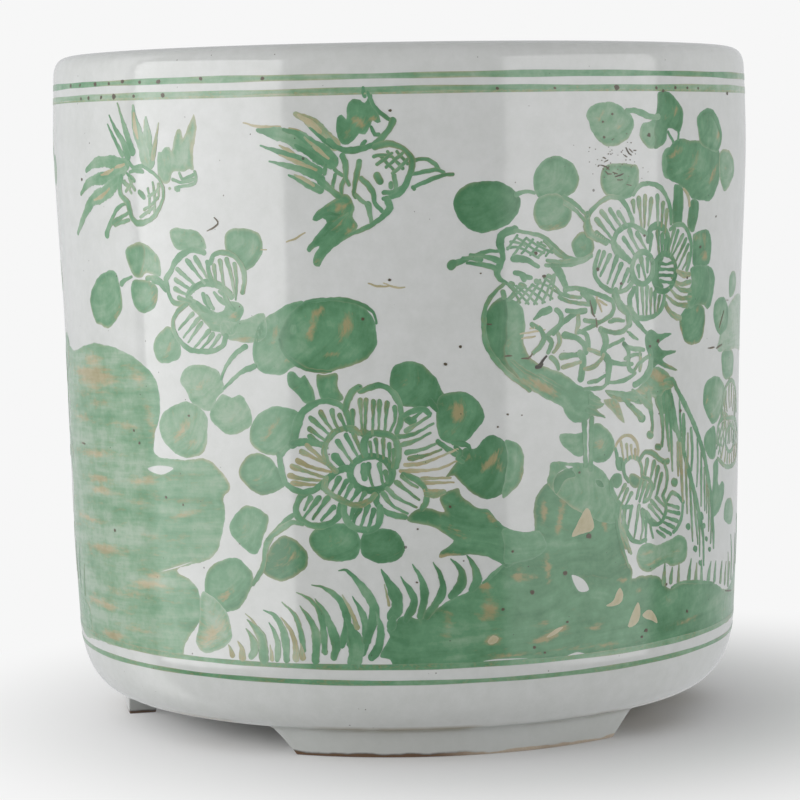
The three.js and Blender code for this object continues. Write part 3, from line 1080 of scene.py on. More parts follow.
def right_rock(art):
    # Painted highlight: the rock's last shade pales the paint left of about 33 mm across, just outside the
    # right soft box's reflection, so that the rock looks as bright there as within the reflection.
    art.wash("-4.5,33.5 -6,36 -9.5,37 -6,43.5 -7,46 -4.5,47 -2.5,50 0.5,50.5 4,49.5 14,55 26,60.5 33.5,66.5"
        " 38,69.5 42,71 42,73 44.5,77 44,84 45.5,88.5 48.5,92 55,96 61,97 70,93.5 72.5,91 76.5,80 79.5,69"
        " 82,64 85,60 84.5,57.5 89,58 95,57.5 100,55.5 103,52.5 105.5,51.5 111,53 116,53 128,51 136,50 148,46"
        " 177,41 189,40.5 189,33.5 160,33.5", 0.76, 4, 0.12, 0, "28,52,4,3.4,70,0.85 14,47,2,4,0,0.7"
        " 29.5,41.5,2.8,1.6,0,1.2 38.5,62,1.8,1.4,0,1 43,61.5,2,1,0,0.7 53,42.5,4.5,1.1,18,1.2"
        " 46,40,4,0.7,6,1 68.5,43,2.6,0.8,10,1 49.5,64.5,0.9,4.6,4,1 48,83,1,4,0,0.9 54,80,1.2,6,-12,1"
        " 72,77,1.3,3,8,0.9 80.5,57.5,2.2,0.7,0,1 27,59.5,1.8,1.4,0,1 35,36,7,1,0,0.7 75,36,6,1,0,0.7"
        " 104,48,2.6,1,-20,0.8 88,53,2,1.2,0,0.6 116,39.5,7,0.7,0,0.7 60,50,1.6,0.8,0,0.7 50,46,6,1,8,0.6"
        " 64,88,0.9,5,0,0.7 60,36.5,9,0.8,3,0.6 150,38,8,0.8,0,0.6", ("58.5,61 61,60.5 64,58.5 65.5,55.5"
        " 61.5,55.5", "26,34.5 31,35 42,34.5 36,34.5 30,34.5", "57,34 61,35 64.5,34 61,34"), 0,
        "2,40,9,4,60,0.14 20,52,12,3,20,0.1 45,50,18,3,-6,0.08 66,66,16,4,-55,0.08 56,78,3,14,0,-0.12"
        " 66,84,3,10,0,-0.1 76,62,12,4,-50,0.08 100,40,26,3,0,0.06 36,38,16,2,3,0.06 52,72,8,2,0,-0.12"
        " 120,46,22,3,-4,-0.08 84,52,10,3,10,-0.06 148,44,18,8,-4,-0.3 60,54,16,2.5,10,-0.08"
        " 18,48,22,16,0,-0.2", 0.25, 1.8, 0.8)
    art.wash("79.5,79 75,90 68,97 62,98 51,99 50,96 49,92.5 58,84 74,77",
             0.5, 80, 0.04, 0.1, "", ("51.5,92 53.5,95.5 57.5,96.5 60,94 56,93 52.5,88.5",
                                       "68,92 70.5,91.5 71.5,89.5 69,90", "56,97.5 59,97 58.5,96"), 1)
    lines(art, "26,60.5 33,66/83,61.5 78.5,71.5 76.5,80/105.5,52 112,53 135,50", (0.8, 1.5, 0.7), 0.66)


def ochre_islands(art):
    """Places on the right rock where the enamel stayed thin and fired sandy."""
    for text in ("58.5,74 62.5,81 64.5,83 66.5,80 67.5,76.5 66,75 62,74.5",
                 "73,49.5 76,51 77.5,53.5 79,55 80.5,52.5 79.5,50 76.5,49",
                 "83,41.5 87.5,49 89,45.5 88,42.5 85,41",
                 "90,44.5 93,46 96,44.5 98,41 95,42 92,43", "49,41 52.5,43.5 55.5,44 53,42",
                 "27.5,41 29.5,43 31.5,42 30.5,40.5 28.5,40"):
        art.wash(text, 0.08, 60, 0.1, 1.0, over=2)


# %% Branch
def branch(art):
    art.wash("0.5,82 4,85.5 9,85.5 13,84.5 11.5,88.5 14,91 18,92 19,89.5 24,85.5 28.5,84.5 31,81 35,78"
        " 41,76.5 46,76.5 48,72 45,68 38,66.5 34,65 32,67 26,69.5 15,70 11,69.5 11.5,71.5 15,73.5 16,75"
        " 9,79.5", 0.74, -12, 0.08, 0, "18,77,5,0.9,-25,0.7 14,70,4,0.7,5,1 29,82,3,0.9,-50,0.9", (), 0,
        "10,83,12,1.6,-10,0.12 28,77,10,2,-35,0.1 24,71.5,10,1.4,0,0.08 34,74,8,3,-20,-0.1", 0.2)
    art.wash("33,78 41,76.5 46,76.5 49,72 46,68.5 34,66.5 33.5,72", 0.60, -5, 0, over=1)


# %% Grass
def grass(art):
    for text, width, tone in (("-8.5,66 -3.5,56.5 -3.5,52.5 -5.5,50", 4.2, 0.8), ("-2,63.5 2.5,55.5 -0.5,49",
            2.8, 0.8), ("2,67.5 5,62.5 6,57 4.5,50", 2.8, 0.8), ("9,68 11.5,63.5 12,58 6.5,50", 2.8, 0.84),
            ("15,69 18.5,65 18.5,60.5 15,56.5", 3.2, 0.84), ("20.5,70 23,66 24,61.5 22,58.5", 3.0, 0.84),
            ("-23,65.5 -20,65.5 -12.5,56.5 -11,51.5 -14,42", 3.4, 0.7), ("-10.5,52 -9,46 -10,40 -12.5,36.5",
            3.0, 0.72), ("-32.5,60.5 -29,60 -24,57 -21,52.5 -20.5,47.5 -22.5,40.5", 2.8, 0.7), ("-31.5,56"
            " -28,51 -24.5,41 -25.5,36.5", 3.2, 0.62), ("-38,58 -33,55.5 -29.5,50.5 -28.5,38", 2.4, 0.6),
            ("-37,53.5 -33.5,49 -31.5,44 -32,35", 3.0, 0.58), ("-43.5,54.5 -39,50.5 -37,45 -36,38.5", 2.0,
            0.56), ("-50.5,51.5 -46.5,50 -43.5,45.5 -42.5,40 -42.5,35", 2.8, 0.54), ("-48.5,47.5 -46.5,44"
            " -45.5,40 -46,35", 2.2, 0.5), ("-57,48 -54.5,46 -51.5,42 -51,34.5", 3.8, 0.5), ("-57.5,45"
            " -55,41.5 -54.5,38 -56,35.5", 3.0, 0.44), ("-18.5,57 -15.5,52 -14,47 -14,42.5 -15.5,38", 3.0,
            0.66), ("-21,50 -18.5,44.5 -17.5,39 -18.5,34.5", 5.6, 0.64)):
        art.line(text, (0.3, width * 0.6, width, width, width * 0.8), tone)
    for text, width in (("-44,49.5 -40.5,45 -39,40 -39,35.5", 2.4), ("-22,57.5 -19,52 -17,46.5", 1.8),
            ("-61,40.5 -59.5,38 -59.5,35", 3.0), ("-65,39 -64,37.5 -63.5,35.5", 2.2), ("-37,41 -36.5,36",
            2.2), ("-48.5,40 -48,37 -48,35", 1.6), ("-57.5,50 -54.5,47.5 -52.5,44", 1.0), ("-7.5,61 -6,54",
            1.0)):
        art.line(text, (0.3, width * 0.8, width), 0.35, 0.7)
    spots(art, "-28.5,38.5,2.4", 0.8)
    art.line("-4.5,50.5 -5.5,46.5", (1.4, 3.2, 2.8), 0.76)


def far_grass(art):
    """Pale tufts on the low rock at the right."""
    for x, low, high, lean, width in ((101, 54, 61, 0.4, 2.4), (105, 54, 59, 0.8, 2.2), (109.6, 53.6, 60, 0.2,
            1.8), (116.5, 53, 60.5, 1.4, 2.6), (121.5, 52, 58.5, 0.6, 2.4), (126, 51.4, 59, -0.4, 2.4), (132,
            51, 57.5, 2.0, 3.0), (138, 50.4, 57, 0.8, 2.6), (145, 49, 56, 1.0, 2.6), (151, 47.6, 55, 0.8,
            2.4), (157, 46.4, 54, 1.2, 2.4)):
        blade = [(x, low), (x + lean * 0.3, (low + high) / 2), (x + lean, high)]
        art.line(blade, (width, width * 0.8, 0.5), 0.5, 0.3 * (x % 2))


# %% Leaves on the left
def left_leaves(art):
    art.wash("-109.5,151 -112,147 -120,142.5 -125,143.5 -129,144.5 -132,148.5 -132.5,152 -130,156 -123,160.5"
        " -115,162.5 -111.5,160.5", 0.46, 20, 0.22, 0, "-112.5,149,3.5,1,55,0.8")
    art.wash("-102,161 -106,168.5 -104.5,170.5 -96,172 -89,167.5 -88.5,161 -95,162 -98,160.5", 0.32, 70, 0.14,
             0, "-90,167,3,1,60,0.5")
    art.wash("-102,161.5 -105.5,168.5 -104,170.5 -96.5,171.5 -95,168 -98.5,161",
             0.56, 70, 0.1, over=1)
    art.wash("-102,159.5 -104,156 -103.5,152.5 -101,149.5 -97.5,148.5 -93.5,149.5 -90.5,153 -90,157 -93,159",
             0.50, 30, 0.16, 0.1, "-92,155,2,4,10,0.4")
    art.wash("-93.5,137.5 -92.5,134 -89.5,132 -82,133.5 -80.5,137 -85,144.5 -92,140.5",
             0.38, 40, 0.12, 0, "-86,137,4,1,50,0.6")
    art.wash("-92,112 -91.5,108 -88,104 -83,101.5 -77,101 -72.5,103 -70.5,107 -71,116 -79,119.5 -89,116",
             0.32, 50, 0.14, 0.1, "-81,110,5,1.4,40,0.7 -76,106,3,1,20,0.6")
    art.wash("-79,130.5 -74,132 -65.5,130.5 -63,124 -66,121 -69,117 -76,119 -79,123.5 -81.5,126.5",
             0.24, 30, 0.12, 0, "-73,125,5,1,30,0.6")
    art.wash("-64,122.5 -60,121.5 -57,122.5 -55,121.5 -52.5,115 -54,111.5 -62,109.5 -69,115", 0.30, 30, 0.14,
             0, "-60,115,4,1.2,40,0.4")
    art.wash("-80,170 -83,175.5 -80,177 -71.5,176 -68.5,173.5 -68,170", 0.30, 10, 0.16, 0.1)
    art.wash("-60,175 -56,177 -48.5,176 -46.5,172.5 -47,168.5 -49.5,165 -53,163 -55.5,165 -57,168 -60,169.5",
             0.46, 60, 0.2, 0, "-50,170,2,3,0,0.4")
    lines(art, "-109.5,158 -106.5,159.5 -103,160.5/-95,160 -90,160.5 -85,157/-92,159.5 -89,158.5 -86,156"
        "/-54,138.5 -58,136 -62,131.5 -64,127.5/-51,132 -56,130 -63,124.5", (2.2, 1.4, 1.0), 0.5)
    art.wash("-63,146.5 -58,146.5 -53,147.5 -47,149.5 -47,141 -57,140 -63,142", 0.3, 8, 0.1, 0,
             "-55,140.5,5,0.9,0,0.8")


def middle_leaves(art):
    art.wash("-51.5,137 -48,146.5 -33,153.5 -33,146 -33,133 -37,132 -41,129.5 -46,129.5 -50,131.5", 0.5, 60,
             0.14, 0, "-43,142,3,1.4,70,0.7 -38,134.5,3,0.8,30,0.7")
    art.wash("-42,139 -40,146 -32,153.5 -18,154 -13,151.5 -9.5,147.5 -8.5,143 -9,138.5 -12,134.5 -26,130"
        " -31,130.5 -35,133 -38,134.5", 0.66, 65, 0.14, 0, "-30.5,144,3.4,1.3,70,1.1 -28,150,2.4,0.9,40,1"
        " -18.5,145.5,4,1.7,75,1.1 -23,136,2,1,0,0.6", ("-37.5,143 -37,145.5 -36,145.5 -36,143",), 1,
        "-20,150,9,2,-10,0.14 -13,142,2,6,10,0.14 -28,134,8,1.6,0,0.1 -25,143,3,5,0,-0.1 -34,148,4,2,45,-0.1")
    art.wash("-39,130 -37,130.5 -34.5,128.5 -33,129.5 -29.5,121 -33,120 -36,123.5 -39,126", 0.55, 60)
    art.wash("-29,129.5 -26,129.5 -22,130 -22,126 -20,121.5 -27,120.5", 0.6, 80)
    art.wash("-53.5,110 -52,114 -48.5,117.5 -43,119 -35,117 -37,113 -38,108 -41,104.5 -45,103 -50,104"
        " -53,106.5", 0.5, 40, 0.15, 0, "-46,111,5,1,50,0.7")
    art.wash("-58,98 -54,103 -50,103.5 -45,101 -41,94 -43,91.5 -51,90 -57.5,95",
             0.62, 30, 0.18, 0, "-50,96,4,1,40,0.5")
    art.wash("-62.5,78 -58,85 -54,86 -47.5,83 -49,77 -52,70.5 -56,71", 0.5, 60, 0.18, 0,
             "-56,78,4,1,60,0.5")
    art.wash("-51,65 -48.5,70 -46,74 -42,76.5 -38,75.5 -34.5,72.5 -33.5,69.5 -35,65.5 -43,61.5",
             0.86, 40, 0.16, 0.1, "-38.5,69.5,3,0.9,50,0.5")
    art.wash("-73,62 -70,65.5 -61,68.5 -54.5,64.5 -54,61 -59,52.5 -67,50 -73.5,55", 0.58, 30, 0.22, 0,
             "-64,56.5,4,0.9,45,0.8 -67,55,3,0.8,20,0.6")
    lines(art, "-54,60 -50,66 -48,74 -40,82.5 -37,84/-48,75 -39,81 -35,80.5", (1.6, 2.2, 1.4), 0.58)
    lines(art, "-8.5,146 -9.5,149.5 -14,152.5 -22,154 -31,153/-24,130.5 -33,131.5 -40,136.5 -41.5,141", (0.8,
          1.6, 0.8), 0.8)


# %% Peonies
def left_peony(art):
    art.wash("-77,152.5 -74.5,154 -65,149.5 -62,150.5 -60,153 -54.5,152 -54.5,149 -56,147 -57.5,143 -60,141.5"
        " -63,143 -67,143.5 -73,149", 0.36, 10, 0.1, 0, "-58,148.5,1.6,1,0,0.9 -64,145.5,3,1,-20,0.5")
    lines(art, "-77,152.5 -75.5,156 -71,158.5 -66.5,159 -62,157.5 -58.5,154.5/-86,160 -83.5,162.5 -81,166"
        " -77.5,168.5 -73,170 -68.5,169", (1.9, 2.4, 1.9), 0.5)
    lines(art, "-86,160.5 -84,153.5 -81,152 -77.5,152.5/-66.5,165.5 -64.5,168.5 -60,169 -56.5,167.5 -54,164"
        " -53.5,160 -54.5,156/-67.5,166 -67,162 -65.5,158.5/-77,152 -81,149.5 -83.5,146 -83,142.5 -80.5,139.5"
        " -76.5,137 -71,136.5 -66,137 -62.5,139 -61.5,142", 1.8, 0.48, 0.12)
    clubs(art, "-76,166.5 -69.5,159.5/-72.5,167.5 -67,159.5/-80.5,163.5 -72.5,158/-81.5,160 -74.5,156.5"
        "/-82,157 -75.5,154.5/-80.5,154 -76,153/-62.5,166.5 -61.5,158.5/-60,167 -58.5,162 -57.5,155.5", 1.3,
        0.42)
    clubs(art, "-65,165 -64.5,159/-57,165.5 -56.5,160 -57,154.5/-74.5,149 -80.5,144/-72,147.5 -78.5,141.5"
        "/-71,146 -76.5,140/-68,143.5 -74,138/-66.5,142.5 -68.5,140 -71.5,137.5/-64,142 -65.5,140 -67.5,138",
        1.15, 0.42, 0.2)
    lines(art, "-68.5,155 -67.5,152.5 -66,150.5/-65.5,156 -63,153.5 -60.5,152/-63.5,156.5 -61,155", (1.0, 1.8,
          1.2), 0.46)
    lines(art, "-70,155.5 -69,153 -67.5,151/-61.5,155.5 -60,152.5 -58,150.5/-72.5,152.5 -70,150.5 -67,149.5",
          (1.6, 1.8, 1.4), 0.56)
    lines(art, "-77,154.5 -73,158 -68,160 -63,159 -58.5,156", (0.8, 1.2, 0.8), 0.6)


def middle_peony(art):
    lines(art, "-38,106.5 -35,116 -31,119.5 -26,121 -21,119.5 -18.5,116 -17.5,111.5", (3.2, 3.2, 2.0, 2.1,
          2.6), 0.66)
    lines(art, "-38,107 -33.5,107.5 -29,107 -26.5,106.5/-27,94.5 -30.5,92 -34.5,90.5 -37,87 -37,83.5 -34,81"
        " -30,80 -25.5,81 -22.5,83.5 -21.5,87.5/-20.5,88.5 -20.5,84 -18.5,80.5 -15,79 -11,79 -9,81 -8.5,84"
        " -8.5,86.5/-18,98.5 -20.5,99 -26,95.5 -27.5,92.5/-19.5,118 -18.5,121.5 -16.5,124.5 -14.5,125.5"
        "/-13,103.5 -13.5,107 -12,110 -9.5,110.5 -3.5,109 -2,103.5 -3,99.5", 2.3, 0.66)
    lines(art, "-43,103.5 -41,94.5 -38,92 -34,91 -31,92/-42.5,103 -38,107 -33,108/-14.5,124 -8,126 -4.5,124.5"
        " -2,121.5 -1,118 -1,114.5 -2.5,110.5/-9.5,91 -9.5,87.5 -7,85 -3,83.5 0,83/-0.5,97 4,95 7,91.5 7,88"
        " 5.5,85.5/0,116 3,117.5 6.5,118 8.5,116.5", 2.0, 0.66)
    lines(art, "-23,98 -26,101 -27,105 -25.5,108.5 -23,111 -20,112 -17,112 -15,110.5/-26.5,96 -27,92.5 -24,90"
        " -16.5,87 -12,88.5 -10,90.5/7,90.5 10,90 13,91", 2.0, 0.55, 0.45)
    oval(art, -11.2, 97.4, 7.1, 5.6, 2.3, 0.72)
    lines(art, "-14,111 -12.5,110 -11,110/-13.5,100 -13.5,95.5/1,115 2.5,114 3.5,114.5", (2.4, 3.0, 1.8),
          0.68)
    clubs(art, "-31.5,115.5 -25,110/-28,117.5 -26,114 -24,111.5/-24,118 -23.5,115 -22,112/-21.5,116.5"
        " -19.5,112/-32,112 -26.5,108/-32,109.5 -26.5,106/-22.5,108 -18,101.5/-19.5,110 -16,103.5/-17,110.5"
        " -14,103.5", 1.3, 0.6, 0.3)
    clubs(art, "-35,104.5 -26.5,100.5/-36.5,101.5 -32,99.5 -25.5,98/-38.5,99.5 -27,96/-39.5,96.5 -35,95.5"
        " -28.5,95/-38.5,94 -30,93.5/-33,106.5 -27,101.5", 1.3, 0.5, 0.7)
    clubs(art, "-23.5,103 -20,99", 2.2, 0.66)
    clubs(art, "-17,118 -17,114.5 -17,111/-14.5,121.5 -14,111/-12.5,121.5 -13,111/-10,121 -10.5,111/-8,121"
        " -8.5,111/-5.5,120.5 -6.5,110.5/-3,119 -3,114.5 -5,110.5/-11.5,107.5 -11,104/-9.5,108.5 -9,103.5"
        "/-7,108.5 -7,103/-5,107 -5,102/-3.5,105 -4,100", 1.15, 0.62, 0.3)
    clubs(art, "-22,96 -24.5,91.5/-19.5,95 -22.5,90/-18,93.5 -20.5,89/-15.5,92 -18,88.5/-13.5,91 -15,88.5"
        "/-32,89.5 -34,86/-29,89.5 -34,83.5/-26,89.5 -31,83/-24,86.5 -28,82.5/-17,86.5 -19,81.5/-15,86 -17,83"
        " -17.5,81/-12.5,87 -15,80/-10.5,85.5 -12.5,79.5", 1.4, 0.66, 0.05)
    clubs(art, "0.5,111 8,115.5/-3,109 3,110 9,113/-1,106.5 4,108 8,110/0.5,104 6,105 11,107/1.5,102 7,103"
        " 11.5,104.5/-3,94.5 4,89/-1,96.5 1,94.5 3.5,93/-6,92.5 -3,89.5 3,86.5/-7.5,91 -4.5,87 0,84.5/3,115"
        " 5,116.5", 1.25, 0.62, 0.3)
    clubs(art, "0,100 6,100.5 17,104.5/-1.5,98 11,98.5 17.5,101/5.5,95.5 14.5,95.5/5.5,94 15.5,94/6.5,91.5"
        " 12,91.5", 1.0, 0.4, 0.85)
    clubs(art, "-12,100.5 -12,97.5 -11,94/-8.5,100.5 -7.5,94.5/-6.5,98 -6,95", 1.3, 0.66)
    lines(art, "17,105.5 19,103.5 17.5,102 19.5,100.5", 1.6, 0.84)


def peony_leaves(art):
    art.wash("-4.5,128 -2.5,132.5 4,133.5 11,128 12.5,124 13.5,121.5 11,119 -2,119.5 -4,123",
             0.76, 60, 0.06, 0, "1,127,3,0.8,60,0.5")
    art.wash("11.5,121.5 19,123.5 23,122 27,115 22,108.5 18,106.5 14,107 11.5,109",
             0.76, 70, 0.04, 0, "18,117,3.2,2,80,1.2 15,110,2.4,1.2,20,0.6")
    # Painted highlight: this paler wash is the right part of the dark leaf beside it, paler only where the
    # right soft box's reflection crosses the leaf.
    art.wash("34,107 38,106 40.5,103 40.5,98 39,92.5 33,88.5 35,101", 0.45, 75, 0.2, 0, "39.5,97,0.8,6,0,0.5")
    art.wash("18.5,102 20,105 24,105 27,108 30,109 33,107.5 35,104 34.5,92 31,88.5 26,88.5 22,90.5 16.5,96"
        " 13.5,95.5", 0.90, 60, 0.02, 0, "29,100.5,4,1.2,48,1.2 32.5,98,0.8,1.6,0,1 22,102,2,1,0,0.5")
    art.wash("-33,75 -28,69 -19,69 -16,71 -15,75 -17,79 -21,81 -30,79.5", 0.62, 30, 0.15, 0,
             "-24,75,4,1,30,0.4")
    art.wash("-15,71 -11,68.5 -6,68 -2,69.5 -0.5,73 -1.5,76.5 -5,79 -14,78", 0.8, 20, 0.12)
    lines(art, "11,107.5 15,104.5 20,101.5/8.5,121 11,117.5/16,107 21,106 22,104.5", (1.6, 2.2, 1.2), 0.84)


def right_peony(art):
    lines(art, "63,175.5 65,180 68.5,183 73,185 78,184 82.5,178 83,175.5/83,185.5 86,188.5 91,189 96,187.5"
        " 99.5,184 101.5,180 102,175.5/69,167.5 67.5,163.5 67.5,159.5 70.5,156 75,154 79.5,154 83,156"
        " 84,158.5/101.5,173.5 105,175 109.5,174.5 113,171 114.5,167 113.5,162.5 112,159.5", (1.5, 1.8, 1.7),
        0.5)
    lines(art, "64,180 64,176.5 65,173.5 72,170/74.5,171 76,168 82.5,163.5", (1.8, 3.2, 2.8, 1.8), 0.5)
    lines(art, "74.5,170 76,173 79,175 83,175.5 89.5,172.5/84.5,154.5 82.5,151.5 83,148 86,145 91,144.5"
        " 95.5,145.5 98.5,148 99.5,151.5", (2.2, 1.8, 1.7), 0.5)
    art.line("90.5,170 91.5,174 94.5,175 98,174 100.5,171 101,165", (2.2, 2.8, 2.3, 2.0), 0.74)
    art.wash("92.5,157.5 93.5,163.5 96.5,165.5 98.5,164.5 97,161.5 96.5,157.5 99,154.5 97,153 94,154.5", 0.74,
             70, 0.05)
    art.line("94,163 98,165.5 102.5,164.5 105,161.5 105,157.5 102.5,154 98.5,153 95,154", 2.0, 0.78)
    lines(art, "96.5,162.5 100,162 104,162.5/96.5,160.5 104.5,160/96.5,158.5 104.5,158/97,156.5 104,155.5",
          (1.5, 1.0, 1.4), 0.74)
    oval(art, 88.2, 161.2, 5.0, 5.3, 2.1, 0.54)
    clubs(art, "87,165 89.5,158/90.5,164.5 90.5,160.5/86,162 86.5,159", 1.4, 0.6)
    clubs(art, "67.5,178 74,171.5/67.5,173.5 73,170.5/69.5,180.5 75,174.5/73,181 78,175/76.5,180 80,176"
        "/79,171.5 84,166/81.5,174 83.5,170.5 86,167.5/85,173 89,168/73.5,166 70,160/71,167 69,162.5"
        "/76.5,165.5 73,157.5/78.5,163 75,156/81.5,161 78.5,155.5/83.5,160 82,157.5", 1.3, 0.52, 0.1)
    clubs(art, "85.5,184.5 87,175.5/88.5,185 88.5,175.5/91.5,184 91,179 90.5,176/94.5,185 95,176/97.5,182.5"
        " 97,175.5/99.5,180 99,173.5/83,183.5 83.5,180.5", 1.4, 0.5, 0.4)
    clubs(art, "92,172 91.5,167.5/95,173 96,166/97.5,172 97.5,166/99.5,170 99,166.5", 1.5, 0.72)
    clubs(art, "104,174 101,166.5/106,173 102.5,165.5/109,171.5 103.5,165/111,170 105,162.5/112.5,168 107,161"
        "/113,165 111.5,162 110,160.5/85.5,155 86.5,146.5/88,155 89,146/90.5,155 90.5,146/92.5,154 92.5,145.5"
        "/94.5,153 94.5,146.5/97,151.5 96,147", 1.2, 0.56, 0.2)
    lines(art, "103,157.5 108,155 114.5,155.5/103,156 109,153 115,152.5/102,154 107.5,150.5 115,150"
        "/100.5,151.5 106,148.5 113,147.5", (0.9, 1.6, 1.9), 0.5, 0.5)
    lines(art, "106,159.5 110.5,158 114,158/99.5,149.5 102.5,146 106.5,144 109,143.5", (1.5, 2.2, 1.9), 0.44,
          0.55)


def low_peony(art):
    lines(art, "76,101.5 78,104.5 81.5,106 85,104.5 87,101 86.5,98.5", (0.8, 1.3, 1.2), 0.3, 0.85)
    clubs(art, "79,104 80,98.5/81.5,103 82,98.5/83.5,102.5 84,99/85.5,101 85.5,98.5", 0.9, 0.4, 0.7)
    art.line("76.5,102 78,96", (1.0, 1.4, 1.6), 0.6)
    art.wash("76.5,98 78.5,99 80.5,97.5 80.5,94.5 77.5,94.5", 0.64, 60)
    art.wash("74,91 76,93.5 79,93 79.5,90 77,88.5", 0.56, 20)
    art.wash("82.5,90.5 83.5,93 88.5,91 87.5,88.5 85,88", 0.66, 30)
    lines(art, "80.5,97 83.5,98.5 87,97.5 88.5,95 89,91.5/80,96.5 80.5,93 82.5,90.5/74.5,91 75.5,87 80,82"
        " 83,82/100.5,95 102,91 101.5,87 99.5,84/89,91.5 92.5,90 94,87.5 92.5,84 90,83/81,82 80.5,78 82,73.5"
        " 84.5,70.5 88,69.5 91,70/90,80 91.5,77 94.5,75 98.5,75 101,77.5 101.5,80.5 100,83.5/102,82"
        " 104.5,84.5 108,83.5 112,80.5/111.5,80 111,76 108.5,72.5 106,71", 1.6, 0.58)
    lines(art, "87.5,97 90,99.5 94,99 98,96.5 100.5,95.5/99.5,95.5 102.5,95.5", (1.6, 2.0, 2.2), 0.62)
    clubs(art, "91.5,97 90,91/95,96 93,90/97,94 95,87.5/99,91.5 96.5,85/88.5,90.5 86.5,85/90.5,89.5 88,84"
        "/92.5,88.5 90,83.5", 1.5, 0.66, 0.05)
    clubs(art, "81,89.5 78,85.5/82,88 79.5,83.5/84,86.5 81.5,83/87.5,82 85.5,72/89,80.5 89.5,75 88.5,70.5"
        "/91,76.5 91,70/84,82 82.5,75.5/92.5,81.5 98,76.5/93.5,83 99.5,78/96,84 100.5,80.5/91,79.5 93.5,77"
        " 96,75.5/93.5,76.5 93.5,73.5 94.5,71", 1.15, 0.56, 0.25)
    lines(art, "102,81 109,79/101,79 109.5,77/100,77 108.5,74.5/99,75.5 106.5,72.5/98,73.5 104.5,70.5"
        "/96.5,72.5 101,70", (0.8, 1.3, 1.5), 0.62, 0.15)
    art.wash("86.5,64 88,67.5 92,69 97,67.5 108,69.5 113,68.5 115,65.5 114.5,61.5 110.5,59.5 105,59.5"
        " 101.5,61 94,59 89,60", 0.36, 10, 0.16, 0, "92,65.5,4,0.8,0,0.8 96,62,5,0.8,12,0.8"
        " 108,64,4,0.8,10,0.5")
    lines(art, "79,82 78.5,77 83,66.5/80.5,81 80,75 84,66/78,78 79,72 81.5,68", (0.9, 1.4, 0.9),
          0.42, 0.4)



# %% Small flying birds
def small_bird(art):
    lines(art, "-107,218.5 -99,202/-112,214.5 -108,209.5 -104,205.5 -101.5,200.5", (0.6, 1.6, 2.8, 3.2), 0.56)
    art.line("-113,211.5 -104.5,201", (0.6, 1.6, 2.0), 0.5)
    lines(art, "-98.5,217.5 -97.5,212 -93,201.5/-92,213.5 -90.5,198/-95,209 -92.5,199",
          (0.8, 3.6, 4.6, 4.4), 0.24, 0.2)
    art.line("-86,211.5 -89,200", (0.4, 1.6, 2.4), 0.25, 0.5)
    lines(art, "-98,215 -97.5,210.5 -96,206.5/-92.5,212.5 -91.5,205", (1.0, 2.0, 0.8), 0.25, 0.9)
    lines(art, "-129,196 -122,198.5 -114,199 -102.5,198/-134.5,188 -127,192 -109,194.5 -104,196.5",
          (1.4, 3.6, 4.4, 4.2), 0.40)
    art.line("-140,174.5 -126,185.5 -116,188.5 -107,193", (1.6, 3.6, 5.4, 4.6), 0.36)
    lines(art, "-109,197 -103.5,198/-124,186 -118,187.5 -113,190/-118,194.5 -113,195.5 -110,196.5", (0.6, 1.5,
          0.8), 0.3, 0.9)
    art.line("-105.5,194 -107,190.5 -106,187.5 -103,185.5 -101,180.5 -98,178.5 -91,180 -87.5,183 -85,187"
        " -85,190.5 -87.5,194 -94,197.5", (2.2, 2.4, 2.2, 1.6, 1.2, 1.2), 0.54)
    art.line("-96.5,189 -94,187", (1.6, 2.4, 1.6), 0.56)
    lines(art, "-101.5,199.5 -99,197 -92,198/-101,195.5 -97.5,196 -94,195.5/-102.5,195 -98.5,192.5/-105.5,193"
        " -103.5,191.5 -101,190.5", (1.0, 1.8, 1.2), 0.5)
    lines(art, "-104,192.5 -100.5,188.5/-103.5,189 -99.5,192.5/-101.5,193.5 -100,191 -98.5,189.5/-92,190"
        " -91.5,186 -92,182/-89.5,192 -89,187 -89.5,182/-87,191.5 -87,187.5/-92,187.5 -89,188.5 -86.5,190.5"
        "/-94.5,183 -91,184.5 -87.5,187/-96.5,180.5 -89,184", 1.15, 0.42, 0.25)
    lines(art, "-104,185 -107.5,184 -110.5,182 -115,176.5/-102.5,182 -112,178.5/-102.5,179.5 -111,178", (1.2,
          1.6, 2.0), 0.54)
    art.line("-112.5,179 -114.5,177.5 -116.5,174.5", (2.6, 2.2, 3.4), 0.58)
    art.wash("-86.5,202 -85,202 -83.5,203.5 -81.5,203.5 -80.5,202 -78.5,208.5 -77,209.5 -76,208.5 -75.5,206"
        " -71,214 -70,210 -71.5,200 -71.5,196 -73,196.5 -75,195.5 -78,195.5 -80.5,195 -82,192 -85,192"
        " -87,194.5", 0.2, 80, 0.14, 0, "-72,205,1,7,0,0.6 -84,199,2,1,0,0.4")
    lines(art, "-77.5,195 -76,193 -71.5,194.5/-80.5,193 -77,192 -71,193/-71,195.5 -70.5,193.5 -71.5,191.5"
        " -78,190.5", 1.2, 0.36)
    spots(art, "-78.5,190,2.8 -82,190,1.5", 0.36)


